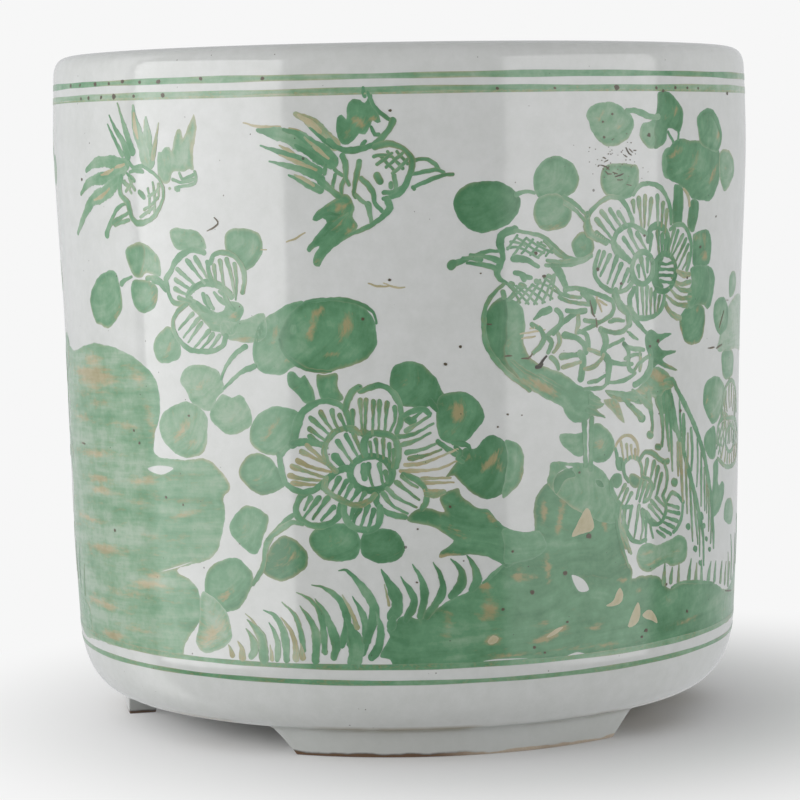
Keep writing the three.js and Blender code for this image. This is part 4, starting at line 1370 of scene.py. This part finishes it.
def flying_bird(art):
    art.line("-52,211 -46,209.5 -39,209.5", (0.4, 1.2, 0.8), 0.25, 0.95)
    lines(art, "-34,213.5 -29,211 -20.5,203", (1.4, 3.6, 4.2, 3.6), 0.36, 0.55)
    art.line("-33,213 -29,210.5 -25.5,207.5", (0.8, 2.6, 1.2), 0.35, 0.95)
    art.line("-29,209 -25,205.5 -21,202.5", (0.6, 1.6, 1.4), 0.74)
    art.line("-47,208.5 -37,206.5 -30,203.5 -22,198", (1.2, 4.2, 5.8, 6.4, 5.6), 0.56)
    lines(art, "-38,208.5 -33,207 -28,202.5/-34,203.5 -29,200.5 -25,197.5", (1.0, 2.4, 1.6), 0.76)
    lines(art, "-31,206 -23,199/-36,209 -32,207.5 -28.5,205/-39.5,203.5 -34,200.5", (0.5, 1.5, 0.8), 0.4,
          0.85)
    lines(art, "-46,203.5 -34,199.5 -26,195/-43,198.5 -30,195 -25.5,192.5/-36.5,194 -31,191.5 -26,189",
          (0.6, 1.8, 2.8, 3.0), 0.6)
    lines(art, "-39.5,200.5 -27,195.5/-34.5,194 -31,192.5 -28,190.5", (0.5, 1.5, 0.8), 0.4, 0.85)
    art.line("-26,192 -20,187", 2.3, 0.74)
    art.wash("-20,212 -18.5,213 -17,211.5 -16.5,216 -15,218 -12.5,217.5 -11,216.5 -9,219.5 -8,216 -6,210.5"
        " -7,210 -8.5,211 -9.5,208.5 -11,206.5 -13,207 -14.5,205 -16.5,203.5 -18.5,203.5 -20,206", 0.66, 60,
        0.1, 0, "-13,210.5,2.4,1.3,-40,1.1 -8.5,211.5,1.4,1,0,1 -16.5,207,2,0.8,60,0.6", over=1)
    lines(art, "-11.5,221.5 -11,218.5/-10,220 -8,215.5 -5,212.5 -2,210.5/-9,209 -8,206.5 -6.5,206.5"
        "/-12.5,202.5 -11,204.5", (1.0, 1.5, 1.2), 0.7)
    lines(art, "-2,211 -3,208.5 -8,203.5 -16,201.5 -20,202.5 -23,205/-8,202.5 -4,203.5 0,202.5 3,200 4,197"
        " 2,191 0,188 -3,186.5 -5.5,186", (2.4, 1.9, 2.2, 1.6), 0.72)
    art.line("-4.5,186 -3.5,183 -9,178 -17,174.5", (2.4, 1.8, 1.2), 0.66, 0.1)
    lines(art, "4,198 8,198.5 11,197 12.5,195/3,193.5 12,195 14,194/4,189.5 13,193 17,193.5", 1.4, 0.72)
    art.line("-7.5,193.5 -6.5,191.5", 2.8, 0.74)
    lines(art, "-8.5,199.5 -5.5,200 -3,199.5/-7.5,197 -5,198.5 -2.5,200.5/-4.5,196 1,200.5/-2.5,194 0,196"
        " 2.5,198.5/-6.5,200 -2,195/-4,201 1,195.5/-1,201 2.5,197", 1.15, 0.64)
    lines(art, "-2,193.5 -1.5,190.5 -1.5,188/-5.5,188 -3,188 0.5,189.5/-3,191 -3,189.5/4,189.5 4.5,189", 1.5,
          0.62, 0.15)
    lines(art, "-18.5,200 -17.5,197 -17.5,193 -16.5,190.5/-13,198 -15,188.5 -14.5,186.5/-12.5,192.5 -10,190"
        " -8.5,187 -8.5,185 -6,182/-10.5,184.5 -9.5,178.5", (2.2, 1.8, 1.3), 0.62)
    lines(art, "-22,198.5 -21,195.5 -18.5,193.5/-21,194 -22,189.5/-17.5,193.5 -19,190 -19,187/-14.5,187.5"
        " -12,185 -10,184/-24,197 -24.5,194", (1.1, 1.5, 1.1), 0.58, 0.2)
    art.wash("-17,187.5 -20,187 -28,181.5 -29,179.5 -27.5,179 -25.5,180 -24,178.5 -27,175.5 -31,170 -30,169"
        " -28.5,170.5 -27,171 -28.5,168 -29,165 -27,164.5 -24,169 -16,174.5 -14,177.5 -15.5,180.5 -15,183.5",
        0.6, 45, 0.16, 0, "-19,183.5,3.4,0.9,25,1 -20,179,3,0.9,45,1 -16,176.5,2.2,0.8,40,1"
        " -23,184.5,4,0.6,30,0.6 -29,169.5,1.4,0.7,60,0.8 -27.5,166.5,1.5,1,70,0.7", over=1,
        shades="-22,176,7,1.4,50,0.16 -20,181.5,6,1,40,0.14")
    lines(art, "-28,179.5 -24,181.5 -20,181/-25,174.5 -21,178.5 -17,181.5", (0.8, 1.4, 0.8), 0.8)


# %% Standing bird
def standing_bird(art):
    art.wash("32.5,153.5 39.5,151 41.5,143.5 40.5,139.5 44.5,132.5 54,128.5 62,123.5 66,121.5 71.5,116.5"
        " 68.5,115.5 72,113 67,113.5 63.5,111.5 60,111.5 57,113.5 54.5,117 45,122 36,128 29,137 28,147", 0.47,
        -50, 0.12, 0, "47.5,124,5,1.3,-28,1.3 41,125.5,4,1,-40,0.6 35.5,137,0.8,2,0,0.4", (), 0,
        "56,122,10,2,-35,0.12 38,140,2,9,-10,-0.1 48,128,10,2,-30,0.08 62,117,4,3,0,0.12", 0.6)
    art.wash("31,152.5 34.5,152.5 35,140 34,136.5 35.5,132 38.5,128.5 39.5,125.5 31,133.5 27,145 28.5,150",
             0.92, 85, 0, over=1)
    lines(art, "46,128 56,122.5/36.5,133 41,129.5 46,127", (0.8, 1.6, 0.8), 0.62)
    art.line("34,158 30.5,155 28,151.5 27,147 28,138 34.5,129.5 43,123",
             (1.2, 1.8, 1.9, 1.6), 0.58, 0.25)
    lines(art, "66,118 69,117 71.5,117/65,115.5 72,112.5/66,120 70,118.5", (2.4, 1.6, 0.5), 0.55)
    art.line("38,175.5 33.5,174 32.5,171.5 33,169 33.5,166.5 31.5,161.5 32.5,159.5 35,158",
             (2.2, 3.0, 2.7, 1.9, 2.5, 1.8, 1.2), 0.7)
    lines(art, "37.5,175 40.5,174.5 48,172.5 55.5,166.5 61.5,165 66,166.5/48,171.5 53,167 56.5,165/48.5,163.5"
        " 58.5,163.5 63,164.5 66,166/49,165 54.5,164.5 60,165", (1.2, 1.5, 1.1), 0.5, 0.25)
    lines(art, "35,169 38.5,173.5/37,167 41.5,172.5/40,167.5 44,172/43,167 47,171/46,166.5 48.5,168.5/38,173"
        " 41,171 44,169 48,167.5/35,169.5 39,169.5 46,166/41.5,172.5 45.5,170 51,167.5/36,171.5 39,171 41,170"
        "/45.5,171 48.5,169.5/48.5,166.5 51,169", 0.85, 0.55, 0.15)
    art.line("37,166 41.5,165.5 46,163", (2.4, 2.2, 1.2), 0.64)
    lines(art, "32,168.5 28,168.5 16.5,164.5/22.5,167.5 27,167 32,165.5/21.5,165 28,164 31,163/20,166.5"
        " 23,166.5 26,166", (1.2, 1.3, 1.7, 2.2), 0.68)
    art.line("17,165 16,164", 3.0, 0.74)
    art.line("37.5,161.5 39.5,161 41.5,160 43.5,159.5", (1.4, 2.2, 1.2), 0.62)
    art.line("40,160.5 41,159", 1.9, 0.62)
    net(art, "35,158 39,157 44,157.5 48,159.5 52,160.5", "35,152.5 46,151 54.5,154", 7, 0.34, 0.85, 0.5, 0.25)
    lines(art, "36,158 37,157.5/39.5,157.5 41,157/45,158.5 46.5,158/49.5,160 51,159.5/33.5,155.5 34,153.5",
          1.7, 0.48, 0.3)
    lines(art, "51.5,163.5 53,162 56,156.5 56,155", (3.0, 2.6, 2.2), 0.58)
    lines(art, "44.5,146 47,148 50,149", (0.8, 2.2, 3.0), 0.62)
    lines(art, "52.5,149 54.5,147 54,144 51.5,141/43.5,144.5 47,142.5 48,139.5 46.5,137 44,135/49.5,140"
        " 51,138 49.5,135/48.5,140 59,147 64,148/61.5,141.5 64,140.5 65,138 65,135.5/80,136.5 82,134.5"
        " 82.5,128 84.5,127/50.5,133.5 52.5,132 53.5,129.5", (1.6, 1.9, 1.5), 0.56, 0.05)
    lines(art, "67,147.5 67,150 65,152.5 62.5,154/61.5,134.5 63,132.5 62,125.5/70,142 72,139 72,136 71,134"
        " 73.5,131 73,124/76,154.5 78,149.5 81.5,146.5 82.5,142.5/75.5,153 79.5,148.5 83.5,147.5/92.5,133.5"
        " 93,130 92,126.5 89,124 85,122.5", (2.2, 2.8, 2.2), 0.52)
    lines(art, "55.5,140.5 60,139.5 63.5,137 64,134.5/54.5,133.5 62,134", (2.4, 2.2, 1.8, 2.6), 0.56)
    lines(art, "56,155.5 61,155.5 74.5,151 75.5,148.5 74,146 61,141/56.5,148.5 60,148 64,148.5/63.5,145"
        " 69.5,144/71,141.5 75,140.5 79,140.5 82,142.5 83,145.5/73.5,131 78,130 84,129.5/84,145 90.5,139.5"
        "/80,136.5 82.5,135 89.5,134", (1.8, 1.7, 1.4), 0.52, 0.12)
    lines(art, "53.5,153 57,151.5 66,150/54.5,154 58,153 62,152.5/72,135.5 80,138/73.5,144 76.5,144.5 80,144"
        "/74,124 78,124 82.5,125 85.5,126.5/80.5,131.5 84,132.5 88,132.5/85,127.5 87,129.5 92.5,132"
        "/63.5,122.5 71,122.5 73,124/65,124.5 69,125 72,126.5", (1.2, 1.5, 1.2), 0.48, 0.25)
    lines(art, "53,141.5 54,139 53,136.5 51.5,135/65,135.5 72,133/55,130 60,131 62,131.5/63.5,129 67,129.5"
        " 70,131.5 71.5,133.5/87.5,133 88,130 87.5,127/61,147 61,144 60,140.5", (1.5, 1.7, 1.2), 0.42, 0.5)
    lines(art, "81.5,140.5 85,138.5/82.5,139.5 86.5,137.5/75,145 79,144.5", (0.7, 1.3, 0.7), 0.5, 0.2)
    lines(art, "68,152.5 70.5,147.5/69,151.5 72.5,149.5", (0.5, 0.9, 0.5), 0.25, 0.9)
    lines(art, "63.5,111.5 64,97/66.5,112.5 66,95.5", (2.4, 1.5, 1.8), 0.56)
    art.wash("54,108 60,108 63.5,108 64,104 63,100.5 60,100.5 54.5,105", 0.44, 20, 0.14)
    art.wash("65.5,108 67,110.5 70,110.5 75.5,106 76,102.5 74,99 70.5,97.5 67.5,98 65.5,101", 0.42, 30, 0.2,
             0, "70,104,1.8,1.6,0,0.8")


def bird_tail(art):
    art.wash("90,136 90.5,139.5 93,140.5 97,139 104,138.5 96.5,135.5 99,133.5 106.5,132.5 99,130 108,126"
        " 101,127 96,128.5 94,126.5 91,125.5 92.5,130", 0.68, -15, 0.1, 0, "104,127.5,4,1,-18,0.7")
    art.wash("72,121.5 80,120.5 86,121 90,123.5 94,127.5 98,127.5 106,122 104,120 100,119.5 97,116.5 93,118"
        " 89,116 83,117 77,117.5", 0.5, -12, 0.06, 0.25, "96,125,6,1.4,-20,0.8 88,120,6,1,10,0.6"
        " 80,118.5,5,1,0,0.4")
    art.wash("71.5,118.5 77,118 80,112.5 80.5,110 72,117", 0.36, -45, 0.1, 0.5)
    lines(art, "79,119 88.5,111.5/84,121 93,114.5/73,121 86,118.5", (0.8, 2.2, 2.6), 0.5, 0.3)
    art.wash("95,118.5 103,122 104.5,115 107,105 104,107 101,111.5 98,112", 0.62, 85, 0.08)
    art.line("100,123 104.5,123 107,120 119.5,105.5 126.5,95 129,89 133.5,78 134.5,72 135.5,67.5 136,62",
             (1.4, 2.2, 2.2, 2.6, 2.6, 1.2), 0.58)
    art.line("104,118 105.5,113 107,107 112.5,96.5 124.5,72.5 126.5,67 127.5,57", (1.6, 2.4, 2.4, 2.4, 2.0,
             1.0), 0.62)
    for text, width, ochre in (("101.5,118 101.5,110 103,99", 2.0, 0), ("103.5,112 105,92", 1.8, 0),
                               ("108,101.5 108.5,90", 1.6, 0.6), ("109.5,101 111.5,81", 2.0, 0.7),
                               ("113,95.5 114.5,76.5", 1.5, 0.45), ("116,88 118.5,66.5", 1.6, 0.3),
                               ("118.5,84 122.5,65", 1.5, 0.3), ("121.5,78 123.5,69 124,60.5", 1.3, 0.2),
                               ("111.5,110.5 112,98", 2.6, 0.2), ("116.5,105.5 117.5,98 117,91", 2.0, 0),
                               ("121,101.5 121.5,94 121,85", 1.3, 0.1), ("124,96.5 124.5,78", 1.7, 0),
                               ("126.5,91 127.5,76", 1.3, 0.1), ("128.5,88.5 129,82 129,75", 1.3, 0.5),
                               ("130.5,83 131,76 131,68.5", 1.4, 0.4), ("109,116 110,102", 1.3, 0),
                               ("133,78 133.5,71 133,64", 1.8, 0.2), ("114.5,104 114.5,92", 1.2, 0.5)):
        art.line(text, (width * 0.7, width, width * 0.5), 0.54, ochre)
    lines(art, "92,119 94,108.5 93.5,105.5/97,117 99,110.5 99.5,105 99,101", (3.2, 2.2, 1.6, 1.4), 0.64)
    for x, y, size in ((92.8, 105.2, 3.0), (97, 100.8, 3.0), (106.2, 88, 3.4), (88.6, 111.2, 3.2), (115.2,
            71.9, 2.6), (120.5, 63.6, 2.6), (127, 70.8, 2.0), (129.2, 66, 2.0), (132.2, 62, 2.1), (124.6,
            58.2, 2.2)):
        art.line([(x - size * 0.24, y + 0.2), (x + size * 0.24, y - 0.2)], size * 0.85, 0.66)
    art.wash("122.5,75.5 125,76 126.5,74.5 126.5,73 123.5,73", 0.7, 0)


# %% Leaves on the right
def right_leaves(art):
    art.wash("17,184 19,188.5 25,191 33,190.5 38,187.5 39.5,183.5 38,179.5 34,176.5 27,174.5 20.5,177", 0.84,
             30, 0.12, 0, "29,175,5,0.7,8,0.6")
    art.wash("44,190 45.5,195.5 50,198.5 55,198 59,195.5 60.5,191 59,187 50,183.5 46,185", 0.48, 50, 0.2)
    art.wash("44,180 45,184.5 49,186.5 54,186 57.5,182.5 57.5,178 55,175.5 50,174.5 46,176", 0.44, 30, 0.2,
             0.1, "51,175.5,5,0.8,5,0.6")
    lines(art, "38,186.5 41,187.5 44.5,187/55,185.5 60,182.5 64.5,178.5/55.5,183.5 60,180.5 63,177.5", (1.8,
          1.4, 1.2), 0.5)
    art.wash("58,170.5 59.5,172.5 62,174 65.5,173 67,169.5 66.5,167 63.5,165 60.5,165.5 58.5,168", 0.52, 40,
             0.1, 0, "62.5,169.5,1.8,1.6,0,0.4")
    art.wash("63.5,211.5 65.5,214.5 73,216 81,212.5 83,210 82.5,206.5 80,203.5 71.5,201.5 65.5,206.5"
        " 64.5,209.5", 0.40, 25, 0.16, 0, "69,211.5,2.4,0.8,50,0.8 77,208.5,2.4,0.9,40,0.7")
    art.wash("69,190 71,186 75,184 84,186 85.5,192.5 83.5,195.5 70.5,195", 0.42, 40, 0.16)
    art.line("80,213 84,213 91,211 95,211", (1.8, 2.2, 2.0), 0.42)
    art.wash("86,207 87.5,209 90.5,209.5 95.5,213 96.5,209 93.5,201 90.5,200.5 86,204", 0.38,
             60, 0.14)
    art.wash("95,219 100.5,219 108,213.5 108,210 105,204.5 104.5,206 99.5,207 98.5,203 97,201.5 92.5,200.5"
        " 93,203.5 92.5,206 94.5,215", 0.72, 65, 0.14, 0, "104,213,2,0.9,60,1 98.5,210.5,1.2,0.7,0,0.7")
    lines(art, "99.5,206 102.5,202.5/105.5,205.5 105,203.5", (0.9, 1.4), 0.66)
    art.wash("134.5,199 142,199.5 147,197.5 149.5,194.5 149.5,191.5 146.5,188.5 139.5,185.5 135,189"
        " 133.5,193.5", 0.36, 10, 0.14, 0, "139,193.5,1.6,1,0,0.4")
    art.wash("96.5,198 98.5,200.5 101.5,200.5 100.5,190.5 97.5,191.5", 0.4, 80, 0.16)
    art.wash("98.5,198.5 104.5,203.5 112,203 118,203 133.5,199 134,190.5 129.5,184 125.5,182.5 114.5,183.5"
        " 111.5,185.5 104.5,189 100.5,190 98.5,192.5 99,195.5", 0.66, 35, 0.1, 0, "104,199,4.2,0.9,24,0.8"
        " 115,195.5,5.4,1.7,52,0.75 128,191,4.2,1,44,1.1 119,190,3,1,60,0.3")
    art.wash("117,211 128,213.5 136,205 133.5,200 129.5,199 119.5,201.5 118,204", 0.55, 60, 0.26, 0,
        "132.5,204.5,1.8,1.3,60,0.9 120.5,208.5,1.6,0.7,0,0.5", shades="122,207,4,6,0,0.14"
        " 133,206,3,6,0,-0.16")
    art.line("121,212 127,212.5 132,209 135,204.5", (1.0, 2.4, 1.4), 0.7)
    art.wash("103.5,188.5 108,187 108,175.5 103.5,175 102.5,179 103,183.5", 0.72, 85, 0.1)
    art.wash("113.5,183 118,182.5 118.5,179 116,172.5 113.5,172.5 111.5,175.5", 0.68, 80, 0.1)
    art.line("108.5,187 111.5,184.5 112.5,181", (0.8, 1.6, 1.0), 0.2, 0.8)
    art.wash("114.5,160 126.5,160.5 130.5,159 133,155.5 131,148 127.5,145.5 125,147 120,147.5 114.5,146.5"
        " 113,151 115.5,155.5", 0.52, 60, 0.12)
    art.wash("114.5,160 126,160 128.5,155.5 128.5,150.5 125.5,147 120,147.5 115,147 113.5,151 115.5,155.5",
             0.68, 60, 0.02)
    art.wash("115.5,171.5 127,172 128,161.5 116.5,160.5 115.5,169", 0.68, 50, 0.12, 0,
             "124,163.5,2.4,1.4,10,1 124,169,1,2,0,0.6 119,170.5,4,1.4,0,0.8")
    art.wash("108.5,143.5 110.5,137 113.5,134.5 122,134.5 124.5,137 125.5,145 121,148 115,148", 0.68, 30,
             0.12, 0, "109.5,139,0.8,4,10,0.8 119.5,146,1.4,1,0,0.8 117,134.5,5,0.5,0,0.7")


def far_leaves(art):
    """The motifs that turn out of sight at the right edge."""
    art.wash("139.5,136 138,133.5 136.5,131.5 139.5,130 165,129.5 176,128 184,131 186,138 180,145 170,148.5"
        " 160,148.5 148,145", 0.12, 2, 0.1, 0, "160,139,12,1,2,0.3")
    art.wash("133.5,147 141.5,149 148.5,144.5 147.5,138.5 139.5,136 133.5,140.5", 0.50, 40, 0.16, 0,
             "138.5,139,1.8,0.7,50,0.8")
    art.wash("149,155.5 155,157.5 158.5,156 160,153 157,149.5 150,148.5", 0.36, 70,
             0.14)
    art.wash("142,129.5 153.5,130 158,128 158.5,124.5 156.5,120.5 146.5,120 143,122", 0.44, 10, 0.16)
    art.wash("126.5,119.5 134.5,122 143,119.5 146.5,116 146,112.5 139.5,107 134.5,105.5 130.5,107 125.5,113",
             0.54, 35, 0.16, 0, "128.5,113.5,1.8,1,60,0.7 133,108.5,2.4,0.9,-20,0.7",
             shades="141,112,8,10,0,-0.4")
    art.wash("126,100 128,103 135,104.5 137,97 135.5,93.5 132,93.5 128.5,95.5", 0.56, 80,
             0.12)
    art.wash("134.5,91.5 138.5,93 139.5,89.5 139,85 140.5,83.5 143.5,84.5 146.5,83 146,79.5 142,75 134.5,73"
        " 132.5,76.5 134.5,86", 0.52, 60, 0.14, 0, "139,78,3,1.4,30,0.3")
    art.wash("148.5,76.5 157,77 161,74 162,71 158.5,68 153.5,68 147,71", 0.44, 10,
             0.14)
    petal(art, "137.5,98.5 139,104.5 144,106.5 150,106 157,105.5 165,104 171,99.5", (152, 90), 10, 0.5, 1.1,
          0.44, 0.2)
    petal(art, "171,99 170,92 164,89 149,89 138.5,93", (154, 100), 9, 0.5, 1.1, 0.4, 0.6)
    petal(art, "142,107.5 144,113.5 148,117.5 154,119 160,117.5 165,113.5 167,107", (154, 99), 8, 0.5, 1.2,
          0.4, 0.4)
    oval(art, 154.6, 98.4, 7, 4.6, 1.4, 0.5)
    lines(art, "137.5,96.5 140.5,101 144.5,105/139.5,94.5 143,99.5 147,103.5/142.5,92.5 145,97 148.5,100.5"
        "/141,106.5 146,108 150,107", (0.8, 1.3, 0.7), 0.46)


# %% Iron and stains
PITS = ("-84,220.5,2.2 -98,220.5,1.5 -109,220.5,2.3 -117,220.5,1.5 -126,220.5,1.8 -132,220.5,1.4 -142,225,1.8"
    " -133,225,1.4 -121,225,2.2 -112,225,1.4 -104,225.5,1.9 -95,225,1.5 -86,225,2 -68,225.5,1.6 -45,225,1.4"
    " 32,220.5,1.2 52,220.5,1.1 76,220.5,2.2 94,220.5,1.5 104,220.5,1.4 111,220.5,1.2 118,220.5,1.1"
    " 97.5,219.5,1.5 -133,193,1.4 -121,73,1.3 -90,87,1.2 -82,85,1 -106,108.5,1.1 -103,104.5,1.3 -78,115,1.1"
    " -13,147.5,1.2 14,132.5,1.2 19,138,1.1 35,115.5,1 40,115,0.7 -3,214,1.2 65.5,73.5,2.3 56,62,1.8"
    " 43.5,56.5,1.9 33,51.5,1.3 57,45.5,1.1 44.5,38,1.3 48.5,36,0.9 15,86,1.1 36.5,70.5,1 61.5,95,1"
    " 116,42.5,1.5 92,39,1.7 90,37,1.2 102.5,53.5,1.3 78.5,156.5,1.1 68.5,161.5,1.5 48,160,1.4 45,167.5,1.3"
    " 88.5,172,1.2 -4,160,1.1 3.5,61.5,0.8 4,79,0.7 26,161.5,0.7 31.5,111.5,0.9 93.5,60,0.7 70.5,204.5,1"
    " 90,205,1.8 74,212,1 70,209.5,1 92.5,135,1.2 96.5,136.5,1.5 109.5,112,1.5 120.5,167,1.3 112.5,157,1.1"
    " 132,177,0.9 142,219,1.6")
SCRATCHES = ("-67,176 -62.5,178.5 -64,180.5/40,133.5 42.5,133.5 44,135/34,134.5 36.5,134.5/28,145 29.5,145"
    "/65.5,151.5 67,146.5 67.5,146/68,145.5 68.5,142.5/138.5,138.5 143,144/136,131.5 141.5,132.5/128.5,132"
    " 134,132/152.5,44.5 163,43/-149,101 -145,101/146,147.5 148,147.5")
BURST = ("69,195.5 71,195 72.5,194/71,193.5 72,192.5 73.5,192.5/70.5,196.5 72,197/75,191.5 78.5,192.5"
    "/76,190.5 77.5,190.5/79.5,201 80.5,199.5 82,198.5/81,200.5 82.5,199.5/79,198.5 80,198/80,189 82,188.5"
    "/72.5,195 71.5,194/74,193 76,192.5/68,195 68.5,195.5/83,200 84,200/70,198 71,197.5")


BURST_SPECKS = 46
BURST_ACROSS = (76, 6)
BURST_UP = (197, 4)


def iron_marks(art):
    spots(art, PITS)
    lines(art, SCRATCHES, (0.3, 0.7, 0.4), 0.6)
    lines(art, "46,130.5 49,134/45.5,130.5 47,130.5 47.5,131.5", (1.8, 1.0, 0.6), 0.95)
    lines(art, BURST, (0.3, 0.6, 0.3), 0.7)
    for _ in range(BURST_SPECKS):
        x, y = art.hand.gauss(*BURST_ACROSS), art.hand.gauss(*BURST_UP)
        spots(art, f"{x:.2f},{y:.2f},{art.hand.uniform(0.25, 0.55):.2f}")


def ochre_lines(art):
    """Fine sandy strokes that the painter's brush left in the open ground."""
    lines(art, "-47,170 -45,170/-38,172.5 -35,173.5 -31.5,175.5/131,132 133.5,132/68.5,153 68,149.5"
        "/39.5,141.5 48.5,142.5/40,140 45,140.5/43,143 46,144/-11,159 -8,158 -3,158/-6,159 -2,157.5 1,157.5",
        (0.4, 0.8, 0.4), 0.2, 0.95)


# %% [markdown]
# ## The whole pot
# The photograph shows less than half of the girth. The hidden side is an invention: it carries the same
# scene once more, mirrored, as such pots often do, with rocks, leaves and grass that join the two scenes at
# the sides.

# %% Joining motifs
SPRAY_PETALS = 7
SPRAY_HEART = (0, 118)
PETAL_REACH = (14.5, 18.5, 20.5, 20.5, 18.5, 14.5)
PETAL_STEP_ANGLE = 17


def joining_rock(art):
    """A low bank, about 80 mm long, that joins two rocks at the side of the pot."""
    art.wash("-46,33.5 -46,43 -34,46 -22,52 -10,55 4,54 16,50 30,46 46,42.5 46,33.5 20,33.5 -20,33.5", 0.46,
             2, 0.12, 0, "-20,42,9,1.2,4,0.8 14,40,8,1.2,-3,0.8 -2,48,4,2,20,0.9 28,37,8,1,0,0.6")
    for x, height, lean in ((-40, 12, -2), (-34, 16, -4), (-26, 13, -1), (-18, 18, -5), (-8, 12, 2), (0, 20,
            -3), (7, 14, 3), (15, 18, 5), (23, 13, 2), (31, 16, 5), (39, 11, 3)):
        base = 44 + 9 * math.cos(x / 30)
        blade = [(x, base), (x + lean * 0.2, base + height * 0.5), (x + lean, base + height)]
        art.line(blade, (2.4, 2.0, 0.3), 0.6)


def joining_spray(art):
    """A peony between leaves, for the ground between the two scenes."""
    art.line("-2,54 -5,64 -3,76 2,88 1,100", (3, 2.4, 2), 0.6)
    for turn in range(SPRAY_PETALS):
        start = math.radians(turn * 360 / SPRAY_PETALS + 10)
        rim = []
        for step, reach in enumerate(PETAL_REACH):
            bearing = start + math.radians((step - 2.5) * PETAL_STEP_ANGLE)
            up = SPRAY_HEART[1] + 0.9 * reach * math.cos(bearing)
            rim.append(f"{reach * math.sin(bearing):.1f},{up:.1f}")
        petal(art, " ".join(rim), SPRAY_HEART, 5, 0.55, 1.4, 0.55 + 0.04 * (turn % 3), 0.4 * (turn % 2))
    oval(art, *SPRAY_HEART, 6.5, 5.2, 1.9)
    lines(art, "-2,117 0,119.5 2.5,118/-1.5,115.5 1,115.5", (1.8, 0.7), 0.6)
    for x, y, length, width, angle, depth in ((-24, 96, 17, 12, 30, 0.45), (-28, 110, 15, 11, 80, 0.6), (24,
            98, 18, 12, -35, 0.7), (27, 132, 15, 12, 60, 0.5), (-22, 140, 16, 12, -40, 0.42), (2, 146, 18, 13,
            80, 0.72), (16, 158, 14, 11, 20, 0.5), (-16, 84, 12, 9, 10, 0.62), (12, 78, 14, 10, -20, 0.5),
            (-14, 160, 13, 10, 100, 0.38), (4, 176, 15, 11, 45, 0.55)):
        leaf(art, x, y, length, width, angle, depth)
    lines(art, "-6,72 -16,82/1,92 12,94 20,97/-3,80 2,78 7,78/-2,100 -12,100 -20,97/2,138 4,152 4,170/4,154"
        " -8,158 -12,160", 1.8, 0.55)


def leaf(art, x, y, length, width, angle, tone):
    """A rounded peony leaf, notched at its stalk."""
    turn = math.radians(angle)
    outline = []
    for step in range(12):
        bearing = math.radians(step * 30 + 10)
        bulge = 1 - 0.16 * math.cos(bearing) ** 8 + art.hand.uniform(-0.07, 0.07)
        u, v = -length / 2 * math.cos(bearing) * bulge, width / 2 * math.sin(bearing) * bulge
        across = x + u * math.cos(turn) - v * math.sin(turn)
        outline.append((across, y + u * math.sin(turn) + v * math.cos(turn)))
    stain = f"{x + 0.2 * length:.1f},{y - 1:.1f},{0.24 * length:.1f},1.2,{angle + 20:.0f},0.8"
    art.wash(outline, tone, angle, 0.18, 0, stain)


def leafy_twig(art):
    """A twig of leaves in the open ground above the spray."""
    for x, y, length, width, angle, depth in ((-20, 206, 15, 11, 20, 0.4), (-6, 198, 16, 12, 70, 0.6), (10,
            207, 14, 10, -25, 0.5), (24, 196, 13, 10, 40, 0.36)):
        leaf(art, x, y, length, width, angle, depth)
    lines(art, "-14,204 -2,200/0,202 5,205/15,204 20,200", 1.6, 0.5)


# %% Paint the pot
GIRTH = 2 * math.pi * GIRTH_RADIUS
SCENE = {
    "left_rock": (left_rock,), "right_rock": (right_rock, ochre_islands), "branch": (branch,),
    "grass": (grass, far_grass), "left_leaves": (left_leaves,), "middle_leaves": (middle_leaves,),
    "peony_leaves": (peony_leaves,), "right_leaves": (right_leaves,), "far_leaves": (far_leaves,),
    "left_peony": (left_peony,), "middle_peony": (middle_peony,), "right_peony": (right_peony,),
    "low_peony": (low_peony,), "small_bird": (small_bird,), "flying_bird": (flying_bird,),
    "standing_bird": (standing_bird,), "bird_tail": (bird_tail,),
}
SIDES = {"front": (0.0, 1), "back": (GIRTH / 2, -1)}
JOINS = {
    "right_join": (GIRTH / 4, (joining_rock,)),
    "left_join": (-GIRTH / 4, (joining_rock, joining_spray, leafy_twig)),
}

RINGS = ((225.15, 2.0, 0.42, 0.06), (220.7, 1.9, 0.32, 0.22), (219.6, 0.7, 0.34, 0.45),
         (33.4, 1.8, 0.56, 0.3), (28.1, 1.6, 0.54, 0.26))

rings = Sheet("ring_lines")
for height, width, tone, ochre in RINGS:
    rings.ring(height, width, tone, ochre)
rings.finish(green_enamel)

for join, (place, motifs) in JOINS.items():
    art = Sheet(join, place)
    for motif in motifs:
        motif(art)
    art.finish(green_enamel)

for side, (place, mirror) in SIDES.items():
    for name, motifs in SCENE.items():
        art = Sheet(f"{side}_{name}", place, mirror)
        for motif in motifs:
            motif(art)
        art.finish(green_enamel)

stains = Sheet("ochre_lines")
ochre_lines(stains)
stains.finish(green_enamel)
marks = Sheet("iron_marks", on_top=True)
iron_marks(marks)
marks.finish(iron_mark)
